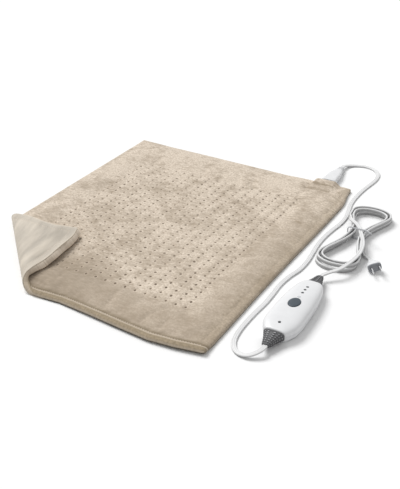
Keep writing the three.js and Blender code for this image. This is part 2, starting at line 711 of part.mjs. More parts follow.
// Connector: a flat nose with three sleeves and a tapered grip with a short strain relief
const sleeveInner = PIN_RADIUS + SEAT_GAP;
const sleeveOuter = sleeveInner + SLEEVE_WALL;
const sleeveFront = noseTip + SEAT_GAP;
const sleeveBack = sleeveFront + SLEEVE_LENGTH;
const gripBack = noseBack + GRIP_LENGTH;
const leadReliefFront = gripBack + SEAT_GAP;
const leadReliefBack = leadReliefFront + LEAD_RELIEF_LENGTH;

function connectorBody() {
  const ring = (y, width, height, roundUp) => ovalRing({
    y, z: socketHeight, halfWidth: width / 2, up: height / 2, roundUp, sides: 20,
  });
  const rings = [
    ring(noseBack, GRIP_WIDTH, GRIP_HEIGHT, 5),
    ring(noseBack + GRIP_WAIST_PLACE, GRIP_WAIST_WIDTH, GRIP_HEIGHT, 5),
    ring(gripBack, GRIP_TAIL_WIDTH, GRIP_TAIL_HEIGHT, 3),
  ];
  const nose = box(socketX - noseHalf, socketX + noseHalf, noseTip, noseBack + 1,
    socketHeight - NOSE_HEIGHT / 2, socketHeight + NOSE_HEIGHT / 2);
  const bores = pinX.map((x) => levelRod(x, noseTip - 1, sleeveBack + SEAT_GAP, socketHeight,
    sleeveOuter + SEAT_GAP));
  const grip = toSolid(loft(rings).translate(socketX, 0, 0));
  return toGeometry(cut(join(grip, [nose]), bores));
}

function connectorRelief() {
  const start = { width: GRIP_TAIL_WIDTH - LEAD_RELIEF_STEP, height: GRIP_TAIL_HEIGHT - LEAD_RELIEF_STEP };
  const end = { width: LEAD_WIDTH + RELIEF_TIP_MARGIN, height: CORD_THICKNESS + RELIEF_TIP_MARGIN };
  const rings = series(5, (i) => ovalRing({
    y: lerp(leadReliefFront, leadReliefBack, i / 4),
    z: socketHeight,
    halfWidth: lerp(start.width, end.width, i / 4) / 2,
    up: lerp(start.height, end.height, i / 4) / 2,
    sides: RELIEF_SIDES,
  }));
  return loft(rings).translate(socketX, 0, 0);
}

function contactSleeve(x) {
  const outer = levelRod(x, sleeveFront, sleeveBack, socketHeight, sleeveOuter);
  const bore = levelRod(x, sleeveFront - 1, sleeveBack + 1, socketHeight, sleeveInner);
  return toGeometry(cut(toSolid(outer), [bore]));
}

function makeConnector() {
  const connector = new THREE.Group();
  addPiece(connector, 'connector_body', connectorBody(), WHITE_PLASTIC);
  addPiece(connector, 'connector_relief', connectorRelief(), WHITE_PLASTIC);
  pinX.forEach((x, i) => addPiece(connector, `contact_sleeve_${i + 1}`, contactSleeve(x), BRASS_METAL));
  return connector;
}

// Controller, in its own frame: lengthwise along Y, standing on z = 0
const controllerHalf = CONTROLLER_LENGTH / 2;
const shellTop = (y) => lerp(CONTROLLER_HEIGHT, CONTROLLER_END_HEIGHT, Math.abs(y / controllerHalf) ** 3);
const lowerShellTop = PARTING_HEIGHT - SEAT_GAP / 2;
const upperShellBottom = PARTING_HEIGHT + SEAT_GAP / 2;
const FAR = 4 * CONTROLLER_LENGTH;

// Half widths along the outline, as shares of the greatest, from the front end to the rear end
const CONTROLLER_OUTLINE = new THREE.SplineCurve([
  [-1, 0.586], [-0.87, 0.8], [-0.69, 0.96], [-0.35, 1], [0.24, 0.94], [0.66, 0.81], [0.88, 0.67], [1, 0.5],
].map(([along, across]) => new THREE.Vector2(along, across)));

function controllerForm(inset) {
  const rings = CONTROLLER_OUTLINE.getPoints(SHELL_STATIONS).map((p) => ovalRing({
    y: p.x * (controllerHalf - inset),
    z: PARTING_HEIGHT,
    halfWidth: (p.y * CONTROLLER_WIDTH) / 2 - inset,
    up: shellTop(p.x * controllerHalf) - PARTING_HEIGHT - inset,
    down: PARTING_HEIGHT + SOLE_BULGE - inset,
    roundUp: UPPER_ROUNDNESS,
    roundDown: LOWER_ROUNDNESS,
    sides: SHELL_SIDES,
  }));
  return cut(toSolid(loft(rings)), [box(-FAR, FAR, -FAR, FAR, -FAR, inset)]);
}

// Strain relief: a flange inside the end wall, a neck through it and a ribbed boot outside
const neckStart = controllerHalf - SHELL_WALL - SEAT_GAP;
const bootStart = controllerHalf + SEAT_GAP;
const flangeStart = neckStart - FLANGE_THICKNESS;

function reliefRing(y, width, height) {
  return ovalRing({ y, z: PARTING_HEIGHT, halfWidth: width / 2, up: height / 2, sides: RELIEF_SIDES });
}

function strainRelief({ side, width, height, length, ribs, neckWidth, cordWidth }) {
  const flange = [neckWidth + 2 * FLANGE_MARGIN, NECK_HEIGHT + 2 * FLANGE_MARGIN];
  const tip = [cordWidth + 2 * RELIEF_TIP_MARGIN, CORD_THICKNESS + 2 * RELIEF_TIP_MARGIN];
  const rings = [
    [flangeStart, ...flange],
    [neckStart, ...flange],
    [neckStart, neckWidth, NECK_HEIGHT],
    [bootStart, neckWidth, NECK_HEIGHT],
  ];
  for (let i = 0; i <= 2 * ribs; i += 1) {
    const share = i / (2 * ribs);
    const groove = i % 2 === 0 ? 0 : 2 * RELIEF_RIB_DEPTH;
    const taper = share ** 1.15;
    rings.push([
      bootStart + length * share,
      lerp(width, tip[0], taper) - groove,
      lerp(height, tip[1], taper) - groove,
    ]);
  }
  return loft(rings.map(([y, wide, high]) => reliefRing(side * y, wide, high)));
}

function neckCutter(side, neckWidth) {
  const wide = neckWidth + 2 * SEAT_GAP;
  const high = NECK_HEIGHT + 2 * SEAT_GAP;
  return loft([neckStart - 1, bootStart + 1].map((y) => reliefRing(side * y, wide, high)));
}
const neckCutters = [neckCutter(-1, FRONT_NECK_WIDTH), neckCutter(1, REAR_NECK_WIDTH)];

// Heights inside the controller
const boardFront = -flangeStart + BOARD_FRONT_ROOM;
const boardBack = flangeStart - BOARD_BACK_ROOM;
const boardTop = BOARD_HEIGHT + BOARD_THICKNESS;
const onBoard = boardTop + SEAT_GAP;
const switchTop = onBoard + SWITCH_HEIGHT;
const plungerBottom = switchTop - PLUNGER_BORE_DEPTH + BUTTON_TRAVEL + PLUNGER_FLOOR_ROOM;
const plungerTop = plungerBottom + PLUNGER_LENGTH;
const buttonTop = shellTop(BUTTON_PLACE) + BUTTON_RISE;
const lipTop = shellTop(BUTTON_PLACE) - SHELL_WALL - BUTTON_LIP_DROP;
const headTop = SCREW_HEAD_SINK + SCREW_HEAD_HEIGHT;
const screwTop = headTop + SCREW_LENGTH;
const shankClearance = SCREW_RADIUS + SEAT_GAP;
const frontScrewY = -controllerHalf + FRONT_SCREW_INSET;
const rearScrewY = controllerHalf - REAR_SCREW_INSET;
const screwPlaces = [
  [-FRONT_SCREW_SPACING / 2, frontScrewY],
  [FRONT_SCREW_SPACING / 2, frontScrewY],
  [-REAR_SCREW_SPACING / 2, rearScrewY],
  [REAR_SCREW_SPACING / 2, rearScrewY],
];
const lastLampY = controllerHalf - LEVEL_LAMP_INSET;
const levelLampY = series(LEVEL_LAMP_COUNT, (i) => lastLampY - (LEVEL_LAMP_COUNT - 1 - i) * LEVEL_LAMP_PITCH);
const powerLampY = -controllerHalf + POWER_LAMP_INSET;
const lampY = [...levelLampY, powerLampY];

function buttonHole() {
  const wide = BUTTON_WIDTH / 2 + BUTTON_CLEARANCE;
  const long = BUTTON_LENGTH / 2 + BUTTON_CLEARANCE;
  const rings = [PARTING_HEIGHT + SEAT_GAP, CONTROLLER_HEIGHT + 1].map((z) => levelRing(z, wide, long, 28));
  return loft(rings).translate(0, BUTTON_PLACE, 0);
}

function upperShell() {
  const outer = controllerForm(0);
  const bosses = screwPlaces.map(([x, y]) => uprightRod(x, y, upperShellBottom, CONTROLLER_HEIGHT,
    UPPER_BOSS_RADIUS));
  const lampHoles = lampY.map((y) => uprightRod(0, y, PARTING_HEIGHT, CONTROLLER_HEIGHT + 1,
    LAMP_RADIUS + LAMP_CLEARANCE, 12));
  const screwHoles = screwPlaces.map(([x, y]) => uprightRod(x, y, 0, screwTop + SCREW_TIP_ROOM,
    shankClearance));
  const hollow = outer.subtract(controllerForm(SHELL_WALL));
  const trimmed = cut(hollow, [box(-FAR, FAR, -FAR, FAR, -FAR, upperShellBottom)]);
  const bossed = join(trimmed, bosses).intersect(outer);
  return toGeometry(cut(bossed, [buttonHole(), ...lampHoles, ...screwHoles, ...neckCutters]));
}

function lowerShell() {
  const outer = controllerForm(0);
  const bosses = screwPlaces.map(([x, y]) => uprightRod(x, y, 0, lowerShellTop, LOWER_BOSS_RADIUS));
  const postTop = BOARD_HEIGHT - SEAT_GAP;
  const postY = [boardFront + FRONT_POST_INSET, boardBack - BACK_POST_INSET];
  const posts = postY.flatMap((y) => [-1, 1].map((side) => uprightRod((side * POST_SPACING) / 2, y,
    SHELL_WALL / 2, postTop, POST_RADIUS, 12)));
  const headHoles = screwPlaces.map(([x, y]) => uprightRod(x, y, -1, headTop + SEAT_GAP,
    SCREW_HEAD_RADIUS + SCREW_HEAD_CLEARANCE));
  const screwHoles = screwPlaces.map(([x, y]) => uprightRod(x, y, -1, PARTING_HEIGHT + 1, shankClearance));
  const hollow = outer.subtract(controllerForm(SHELL_WALL));
  const trimmed = cut(hollow, [box(-FAR, FAR, -FAR, FAR, lowerShellTop, FAR)]);
  const bossed = join(trimmed, [...bosses, ...posts]).intersect(outer);
  return toGeometry(cut(bossed, [...headHoles, ...screwHoles, ...neckCutters]));
}

function screw(x, y) {
  const profile = [
    [0, SCREW_HEAD_SINK], [SCREW_HEAD_RADIUS, SCREW_HEAD_SINK], [SCREW_HEAD_RADIUS, headTop],
    [SCREW_RADIUS, headTop], [SCREW_RADIUS, screwTop - SCREW_RADIUS], [0, screwTop],
  ].map(([radius, height]) => new THREE.Vector2(radius, height));
  return new THREE.LatheGeometry(profile, 12).rotateX(Math.PI / 2).translate(x, y, 0);
}

function buttonCap() {
  const wide = BUTTON_WIDTH / 2;
  const long = BUTTON_LENGTH / 2;
  const stem = BUTTON_STEM_RADIUS;
  const lipBottom = lipTop - BUTTON_LIP_THICKNESS;
  const rings = [
    [plungerTop + SEAT_GAP, stem, stem], [lipBottom, stem, stem],
    [lipBottom, wide + BUTTON_LIP, long + BUTTON_LIP], [lipTop, wide + BUTTON_LIP, long + BUTTON_LIP],
    [lipTop, wide, long], [buttonTop - BUTTON_EDGE_DROP, wide, long],
    [buttonTop - BUTTON_CROWN, wide - BUTTON_EDGE_ROUND, long - BUTTON_EDGE_ROUND],
    [buttonTop, wide - BUTTON_CROWN_INSET, long - BUTTON_CROWN_INSET],
  ];
  return loft(rings.map(([z, x, y]) => levelRing(z, x, y, 28))).translate(0, BUTTON_PLACE, 0);
}

function switchBody() {
  const half = SWITCH_SIZE / 2;
  const block = box(-half, half, BUTTON_PLACE - half, BUTTON_PLACE + half, onBoard, switchTop);
  const bore = uprightRod(0, BUTTON_PLACE, switchTop - PLUNGER_BORE_DEPTH, switchTop + 1,
    PLUNGER_RADIUS + PLUNGER_CLEARANCE, 12);
  return toGeometry(cut(toSolid(block), [bore]));
}

// Lamp: a base on the board and a light guide that ends level with the shell
function lamp(y) {
  const top = shellTop(y) - SEAT_GAP / 2;
  const profile = [
    [0, onBoard], [LAMP_BASE_RADIUS, onBoard], [LAMP_BASE_RADIUS, onBoard + LAMP_BASE_HEIGHT],
    [LAMP_RADIUS, onBoard + LAMP_BASE_HEIGHT], [LAMP_RADIUS, top], [0, top],
  ].map(([radius, height]) => new THREE.Vector2(radius, height));
  return new THREE.LatheGeometry(profile, 12).rotateX(Math.PI / 2).translate(0, y, 0);
}

function blockOnBoard([x, y], [wide, long, high]) {
  return box(x - wide / 2, x + wide / 2, y - long / 2, y + long / 2, onBoard, onBoard + high);
}

function rodOnBoard([x, y], length, radius) {
  return levelRod(x, y, y + length, onBoard + radius, radius);
}

function innerWire(x, start, end) {
  const endHeight = onBoard + INNER_WIRE_RADIUS;
  const shares = [0, 0.15, 0.5, 0.85, 1];
  const heights = [0, 0, 0.5, 1, 1].map((share) => lerp(PARTING_HEIGHT, endHeight, share));
  const points = shares.map((share, i) => point(x, lerp(start, end, share), heights[i]));
  return sweep(points, roundSection(INNER_WIRE_RADIUS, WIRE_SIDES));
}

function makeController() {
  const controller = new THREE.Group();
  controller.position.set(CORNER_X + CONTROLLER_FROM_CORNER[0], CORNER_Y + CONTROLLER_FROM_CORNER[1], 0);
  addPiece(controller, 'lower_shell', lowerShell(), WHITE_PLASTIC);
  addPiece(controller, 'upper_shell', upperShell(), WHITE_PLASTIC);
  addPiece(controller, 'front_strain_relief', strainRelief({
    side: -1,
    width: FRONT_RELIEF_WIDTH,
    height: FRONT_RELIEF_HEIGHT,
    length: FRONT_RELIEF_LENGTH,
    ribs: FRONT_RELIEF_RIBS,
    neckWidth: FRONT_NECK_WIDTH,
    cordWidth: LEAD_WIDTH,
  }), DARK_RUBBER);
  addPiece(controller, 'rear_strain_relief', strainRelief({
    side: 1,
    width: REAR_RELIEF_WIDTH,
    height: REAR_RELIEF_HEIGHT,
    length: REAR_RELIEF_LENGTH,
    ribs: REAR_RELIEF_RIBS,
    neckWidth: REAR_NECK_WIDTH,
    cordWidth: MAINS_WIDTH,
  }), DARK_RUBBER);
  const boardHalf = BOARD_WIDTH / 2;
  const board = box(-boardHalf, boardHalf, boardFront, boardBack, BOARD_HEIGHT, boardTop);
  addPiece(controller, 'circuit_board', board, GREEN_BOARD);
  addPiece(controller, 'switch_body', switchBody(), BLACK_PLASTIC);
  const plunger = uprightRod(0, BUTTON_PLACE, plungerBottom, plungerTop, PLUNGER_RADIUS, 12);
  addPiece(controller, 'switch_plunger', plunger, GREY_PLASTIC);
  addPiece(controller, 'button_cap', buttonCap(), SLATE_PLASTIC);
  levelLampY.forEach((y, i) => addPiece(controller, `level_lamp_${i + 1}`, lamp(y), DARK_LENS));
  addPiece(controller, 'power_lamp', lamp(powerLampY), DARK_LENS);
  addPiece(controller, 'fuse', rodOnBoard(FUSE_PLACE, FUSE_LENGTH, FUSE_RADIUS), BRIGHT_METAL);
  addPiece(controller, 'triac', blockOnBoard(TRIAC_PLACE, TRIAC_SIZE), BLACK_PLASTIC);
  const capacitorX = LAMP_BASE_RADIUS + CAPACITOR_LAMP_ROOM + CAPACITOR_SIZE[0] / 2;
  const capacitor = blockOnBoard([capacitorX, CAPACITOR_PLACE], CAPACITOR_SIZE);
  addPiece(controller, 'capacitor', capacitor, AMBER_PLASTIC);
  const resistor = rodOnBoard(RESISTOR_PLACE, RESISTOR_LENGTH, RESISTOR_RADIUS);
  addPiece(controller, 'resistor', resistor, BEIGE_CERAMIC);
  screwPlaces.forEach(([x, y], i) => addPiece(controller, `screw_${i + 1}`, screw(x, y), BRIGHT_METAL));
  const wireStart = flangeStart - SEAT_GAP;
  [-1, 1].forEach((side, i) => {
    const padWire = innerWire((side * PAD_WIRE_SPACING) / 2, -wireStart, boardFront + INNER_WIRE_OVERLAP);
    addPiece(controller, `pad_wire_${i + 1}`, padWire, WHITE_CORD);
    const mainsWire = innerWire((side * MAINS_WIRE_SPACING) / 2, wireStart, boardBack - INNER_WIRE_OVERLAP);
    addPiece(controller, `mains_wire_${i + 1}`, mainsWire, BLACK_PLASTIC);
  });
  return controller;
}

// Cords: flat, and level across wherever they lie free
class LevelRoute extends THREE.CatmullRomCurve3 {
  computeFrenetFrames(segments) {
    const tangents = series(segments + 1, (i) => this.getTangentAt(i / segments));
    const normals = tangents.map((along) => new THREE.Vector3().crossVectors(along, UP).normalize());
    const binormals = tangents.map((along, i) => new THREE.Vector3().crossVectors(along, normals[i]));
    return { tangents, normals, binormals };
  }
}

function flatSection(width, thickness) {
  const w = width / 2;
  const h = thickness / 2;
  const quarter = [[w, h / 2], [w * 0.75, h]];
  const upper = [...quarter, ...quarter.map(([x, y]) => [-x, y]).reverse()];
  return [...upper, ...upper.map(([x, y]) => [-x, -y])];
}

// A free stretch between two straight ends, each square to what it meets
function flatCord({ width, start, startHeading, points, end, endHeading }) {
  const run = width;
  const route = new LevelRoute([
    start,
    start.clone().addScaledVector(startHeading, run),
    ...points,
    end.clone().addScaledVector(endHeading, -run),
    end,
  ]);
  const shape = new THREE.Shape(flatSection(width, CORD_THICKNESS).map(([x, y]) => new THREE.Vector2(x, y)));
  const steps = Math.round(route.getLength() / (STEP_WIDTHS * width));
  return new THREE.ExtrudeGeometry(shape, { steps, extrudePath: route, bevelEnabled: false });
}

const controllerX = CORNER_X + CONTROLLER_FROM_CORNER[0];
const controllerY = CORNER_Y + CONTROLLER_FROM_CORNER[1];
const BACKWARDS = point(0, 1, 0);

function padLead() {
  const reliefTip = bootStart + FRONT_RELIEF_LENGTH + SEAT_GAP;
  return flatCord({
    width: LEAD_WIDTH,
    start: point(socketX, leadReliefBack + SEAT_GAP, socketHeight),
    startHeading: BACKWARDS,
    points: fromCorner([
      [-61, 99, 5], [-55, 109, 3], [-43, 117.5, 1.8], [-27, 122, 1.7], [-11, 119, 1.7], [1, 110.5, 1.7],
      [9.5, 97, 1.7], [13.5, 79, 1.7], [13.5, 59, 1.7], [10.5, 35, 1.7], [7.5, 11, 1.7], [6, -13, 1.7],
      [5.8, -37, 1.7], [7.5, -62, 1.7], [13, -89, 1.7], [18, -117, 1.7], [18, -145, 1.7], [14, -175, 1.7],
      [11, -205, 1.7], [11, -237, 1.7], [14, -269, 1.7], [17, -301, 1.7], [16, -331, 1.7], [10, -360, 1.7],
      [7, -389, 1.7], [8, -419, 1.7], [8.5, -448, 1.7], [6.5, -477, 1.7], [5.6, -507, 1.7], [6.5, -535, 1.7],
      [10.5, -557, 1.7], [19, -573, 1.9], [31, -582, 2.8], [44, -582.5, 4.8], [54, -576, 8],
    ]),
    end: point(controllerX, controllerY - reliefTip, PARTING_HEIGHT),
    endHeading: BACKWARDS,
  });
}

// Places where the mains cord enters and leaves its hank
const hankIn = fromCorner([[73, -193.5, CROSSING_HEIGHT]])[0];
const hankInHeading = point(-0.45, 0.893, 0).normalize();
const hankOut = fromCorner([[84.55, -210.15, 1.8]])[0];
const hankOutHeading = point(0.303, -0.953, 0).normalize();
const headOn = (place, heading, distance) => place.clone().addScaledVector(heading, distance);

function mainsCord() {
  const reliefTip = bootStart + REAR_RELIEF_LENGTH + SEAT_GAP;
  return flatCord({
    width: MAINS_WIDTH,
    start: point(controllerX, controllerY + reliefTip, PARTING_HEIGHT),
    startHeading: BACKWARDS,
    points: fromCorner([
      [63.5, -339, 12.2], [69, -332.5, 13.6], [76, -325.5, 15], [82, -316.5, 16.6], [86, -305, 17.6],
      [89.5, -290, 17.8], [91.5, -274, 17.6], [92, -258, 17.4], [90.5, -242, 17.4], [87, -226, 17.6],
      [81.5, -211, 18],
    ]),
    end: headOn(hankIn, hankInHeading, -SEAT_GAP / 2),
    endHeading: hankInHeading,
  });
}

// The hank is one unbroken cord: a run that crosses the waist, loops that spiral in on the upper
// layer and out on the lower one, and a run that leaves along the floor. The loops stand on edge.
const hankX = CORNER_X + HANK_FROM_CORNER[0];
const hankY = CORNER_Y + HANK_FROM_CORNER[1];
const lowerLayer = HANK_FLOOR_GAP + MAINS_WIDTH / 2;
const upperLayer = lowerLayer + MAINS_WIDTH + HANK_LAYER_GAP;
const ON_EDGE = Math.PI / 2;
const hankLift = (y) => HANK_WAIST_LIFT * Math.exp(-(((y - hankY) / HANK_LIFT_REACH) ** 2));

function hankPoint(loops) {
  const turn = 2 * Math.PI * loops;
  const inset = HANK_STEP * (HANK_LOOPS_IN - Math.abs(loops - HANK_LOOPS_IN));
  const far = Math.sin(turn) > 0;
  const climb = THREE.MathUtils.smoothstep(loops, HANK_LOOPS_IN - HANK_CLIMB, HANK_LOOPS_IN + HANK_CLIMB);
  const length = (far ? HANK_FAR_LENGTH : HANK_NEAR_LENGTH) + HANK_LOWER_LENGTH * climb;
  const lobeSwell = (far ? HANK_FAR_SWELL : HANK_NEAR_SWELL) + HANK_LOWER_SWELL * climb;
  const swell = lobeSwell - HANK_SWELL_DRAW * inset;
  const halfWidth = HANK_WAIST - inset + swell * Math.sin(turn) ** 2;
  const y = hankY + (length - HANK_LENGTH_DRAW * inset) * Math.sin(turn);
  return point(hankX - halfWidth * Math.cos(turn), y, lerp(upperLayer, lowerLayer, climb) + hankLift(y));
}

function hankRoute() {
  const crossing = [
    [65, -177, CROSSING_HEIGHT, 0], [58, -167, 18.1, 0], [49.5, -157.5, 17.8, 0], [41.5, -151, 17.4, 0],
    [36.3, -144, 16.4, 0.2], [32, -135.5, 14.7, 0.6], [28.3, -125, 12.8, 0.9],
  ];
  const steps = Math.round((HANK_LOOPS - HANK_JOIN) * HANK_LOOP_STEPS);
  const loops = series(steps + 1, (i) => hankPoint(lerp(HANK_JOIN, HANK_LOOPS, i / steps)));
  const leaving = [[76.9, -189.5, 4.4, 0.8], [79.3, -197.3, 3, 0.35]];
  const run = MAINS_WIDTH;
  const points = [
    headOn(hankIn, hankInHeading, SEAT_GAP / 2),
    headOn(hankIn, hankInHeading, run),
    ...fromCorner(crossing),
    ...loops,
    ...fromCorner(leaving),
    headOn(hankOut, hankOutHeading, -run),
    headOn(hankOut, hankOutHeading, -SEAT_GAP / 2),
  ];
  const edgeShares = [0, 0, ...crossing.map((row) => row[3]), ...loops.map(() => 1)];
  edgeShares.push(...leaving.map((row) => row[3]), 0, 0);
  return { points, rolls: edgeShares.map((share) => share * ON_EDGE) };
}

function hankSection() {
  const w = MAINS_WIDTH / 2;
  const h = CORD_THICKNESS / 2;
  return [[w, 0], [w * 0.65, h], [-w * 0.65, h], [-w, 0], [-w * 0.65, -h], [w * 0.65, -h]];
}

// Least gap of a swept cord to itself, between points on its surface that are far apart along it
function leastSelfGap(geometry, ringCount, apart) {
  const position = geometry.attributes.position;
  const sides = position.count / ringCount;
  const rings = series(ringCount, (i) => series(sides, (j) => new THREE.Vector3()
    .fromBufferAttribute(position, i * sides + j)));
  const splits = 4;
  const samples = [];
  for (let i = 0; i + 1 < ringCount; i += 1) {
    for (let k = 0; k < splits; k += 1) {
      const ring = rings[i].map((p, j) => p.clone().lerp(rings[i + 1][j], k / splits));
      const middles = ring.map((p, j) => p.clone().lerp(ring[(j + 1) % sides], 0.5));
      samples.push({ along: i + k / splits, spots: [...ring, ...middles] });
    }
  }
  let least = Infinity;
  samples.forEach((one, i) => samples.slice(i + 1).forEach((other) => {
    if (other.along - one.along < apart) {
      return;
    }
    for (const p of one.spots) {
      for (const q of other.spots) {
        least = Math.min(least, p.distanceToSquared(q));
      }
    }
  }));
  return Math.sqrt(least);
}

function mainsHank() {
  const { points, rolls } = hankRoute();
  const geometry = sweep(points, hankSection(), rolls);
  const gap = leastSelfGap(geometry, points.length, HANK_LOOP_STEPS / 4);
  console.log(`Least gap of the hank to itself: ${gap.toFixed(2)} mm`);
  return geometry;
}

const plugFace = fromCorner([PLUG_FACE_PLACE])[0];
const plugTurn = new THREE.Euler(PLUG_PITCH, PLUG_ROLL, Math.atan2(-PLUG_HEADING.x, PLUG_HEADING.y), 'ZXY');
const plugHeading = BACKWARDS.clone().applyEuler(plugTurn);
const plugBack = PLUG_LENGTH + PLUG_RELIEF_LENGTH;

function mainsCordTail() {
  return flatCord({
    width: MAINS_WIDTH,
    start: headOn(hankOut, hankOutHeading, SEAT_GAP / 2),
    startHeading: hankOutHeading,
    points: fromCorner([[89.5, -224.5, 1.9], [93.2, -232.5, 3], [97, -239, 5.4]]),
    end: headOn(plugFace, plugHeading, -plugBack - SEAT_GAP),
    endHeading: plugHeading,
  });
}

function hankTie() {
  const halfIn = HANK_WAIST - HANK_STEP / 2 + CORD_THICKNESS / 2 + TIE_ROOM;
  const bottomIn = HANK_FLOOR_GAP + TIE_THICKNESS;
  const topIn = CROSSING_HEIGHT + CORD_THICKNESS / 2 + TIE_ROOM;
  const frame = (margin) => {
    const radius = TIE_CORNER_RADIUS + margin;
    return roundedOutline(-halfIn - margin, halfIn + margin, bottomIn - margin, topIn + margin, radius, 3);
  };
  const shape = new THREE.Shape(frame(TIE_THICKNESS));
  shape.holes.push(new THREE.Path(frame(0).reverse()));
  const ring = new THREE.ExtrudeGeometry(shape, { depth: TIE_WIDTH, bevelEnabled: false });
  return ring.rotateX(Math.PI / 2).translate(hankX, hankY + TIE_WIDTH / 2, 0);
}

function makeCords() {
  const cords = new THREE.Group();
  addPiece(cords, 'pad_lead', padLead(), WHITE_CORD);
  addPiece(cords, 'mains_cord', mainsCord(), WHITE_CORD);
  addPiece(cords, 'mains_hank', mainsHank(), WHITE_CORD);
  addPiece(cords, 'mains_cord_tail', mainsCordTail(), WHITE_CORD);
  addPiece(cords, 'hank_tie', hankTie(), WHITE_CORD);
  return cords;
}

// Plug, in its own frame: the blades point along +Y and the face is at y = 0
const plateBack = -PLUG_FACE_THICKNESS;
const plugFront = plateBack - SEAT_GAP;
const blades = [-1, 1].map((side) => (side * BLADE_SPACING) / 2);

function plugRing(y, width, height) {
  return ovalRing({ y, z: 0, halfWidth: width / 2, up: height / 2, roundUp: 3.5, sides: 20 });
}

function plugBody() {
  const tailWidth = MAINS_WIDTH + RELIEF_TIP_MARGIN;
  const tailHeight = CORD_THICKNESS + RELIEF_TIP_MARGIN;
  return loft([
    plugRing(-plugBack, tailWidth, tailHeight),
    plugRing(-PLUG_LENGTH, PLUG_SHOULDER_WIDTH - PLUG_SHOULDER_STEP, PLUG_SHOULDER_HEIGHT - PLUG_SHOULDER_STEP),
    plugRing(-PLUG_LENGTH + PLUG_SHOULDER_LENGTH, PLUG_SHOULDER_WIDTH, PLUG_SHOULDER_HEIGHT),
    plugRing(-PLUG_TAPER_PLACE, PLUG_WIDTH, PLUG_HEIGHT),
    plugRing(plugFront, PLUG_WIDTH, PLUG_HEIGHT),
  ]);
}

function plugFacePlate() {
  const width = PLUG_WIDTH - 2 * PLUG_FACE_MARGIN;
  const height = PLUG_HEIGHT - 2 * PLUG_FACE_MARGIN;
  const plate = loft([plateBack, 0].map((y) => plugRing(y, width, height)));
  const slots = blades.map((x) => {
    const halfX = BLADE_THICKNESS / 2 + SEAT_GAP;
    const halfZ = BLADE_WIDTH / 2 + SEAT_GAP;
    return box(x - halfX, x + halfX, plateBack - 1, 1, -halfZ, halfZ);
  });
  return toGeometry(cut(toSolid(plate), slots));
}

function plugBlade(x) {
  const halfX = BLADE_THICKNESS / 2;
  const halfZ = BLADE_WIDTH / 2;
  return box(x - halfX, x + halfX, plateBack, BLADE_LENGTH, -halfZ, halfZ);
}

function makePlug() {
  const plug = new THREE.Group();
  plug.position.copy(plugFace);
  plug.rotation.copy(plugTurn);
  addPiece(plug, 'plug_body', plugBody(), WHITE_PLASTIC);
  addPiece(plug, 'plug_face', plugFacePlate(), GREY_PLASTIC);
  blades.forEach((x, i) => addPiece(plug, `plug_blade_${i + 1}`, plugBlade(x), BRIGHT_METAL));
  return plug;
}

const heatingPad = new THREE.Group();
heatingPad.add(makePad(), makeSocket(), makeConnector(), makeController(), makeCords(), makePlug());

export default heatingPad;
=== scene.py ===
"""Looks of a heating pad with its hand controller, laid out as a Blender add-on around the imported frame."""

import json
import math

import bmesh
import bpy
import numpy as np
from bpy.props import FloatProperty, FloatVectorProperty, IntProperty, PointerProperty
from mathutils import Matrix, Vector, noise


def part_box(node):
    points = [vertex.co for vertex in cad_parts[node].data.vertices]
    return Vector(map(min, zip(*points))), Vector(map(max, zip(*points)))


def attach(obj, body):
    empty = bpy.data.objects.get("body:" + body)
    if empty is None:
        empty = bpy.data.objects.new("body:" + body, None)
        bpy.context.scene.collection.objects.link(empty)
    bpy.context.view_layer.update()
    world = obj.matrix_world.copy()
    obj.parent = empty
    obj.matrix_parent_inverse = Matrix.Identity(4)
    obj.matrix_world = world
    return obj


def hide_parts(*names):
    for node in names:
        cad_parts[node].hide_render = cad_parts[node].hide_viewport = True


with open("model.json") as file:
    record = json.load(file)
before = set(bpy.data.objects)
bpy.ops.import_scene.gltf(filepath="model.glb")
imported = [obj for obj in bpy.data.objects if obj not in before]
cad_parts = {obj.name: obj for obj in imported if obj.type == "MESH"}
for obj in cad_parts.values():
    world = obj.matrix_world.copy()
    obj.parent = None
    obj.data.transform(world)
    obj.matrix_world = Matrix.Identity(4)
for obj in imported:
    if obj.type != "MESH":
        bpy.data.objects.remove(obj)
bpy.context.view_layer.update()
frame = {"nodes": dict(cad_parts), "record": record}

bl_info = {
    "name": "Heating pad with controller",
    "version": (1, 0, 0),
    "blender": (4, 5, 0),
    "location": "View3D > Sidebar > Heating pad",
    "description": "Dresses the packed heating pad with cloth, cords, moulded shells and a stage",
    "category": "Object",
}

# Shapes are worked out in millimetres, in the row frame, and become metres when a mesh is made
MM = 0.001
SEAT_GAP = 0.3
ROD_SIDES = 24
CURVE_STEPS = 12


def box_mm(node):
    low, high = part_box(node)
    return np.array(low) / MM, np.array(high) / MM


PAD_LOW, PAD_HIGH = box_mm("bottom_cover")
SHELL_LOW, SHELL_HIGH = box_mm("lower_shell")
TOP_HIGH = box_mm("upper_shell")[1]
GRIP_LOW, GRIP_HIGH = box_mm("connector_body")
BUTTON_LOW, BUTTON_HIGH = box_mm("button_cap")
CORNER = np.array((PAD_HIGH[0], PAD_HIGH[1], 0.0))


# Sizes and colours that a user would change
def length_prop(name, description, millimetres):
    return FloatProperty(name=name, description=description, default=millimetres * MM, min=0.0, unit="LENGTH")


def colour_prop(name, description, colour):
    return FloatVectorProperty(
        name=name, description=description, default=colour, size=3, min=0.0, max=1.0, subtype="COLOR"
    )


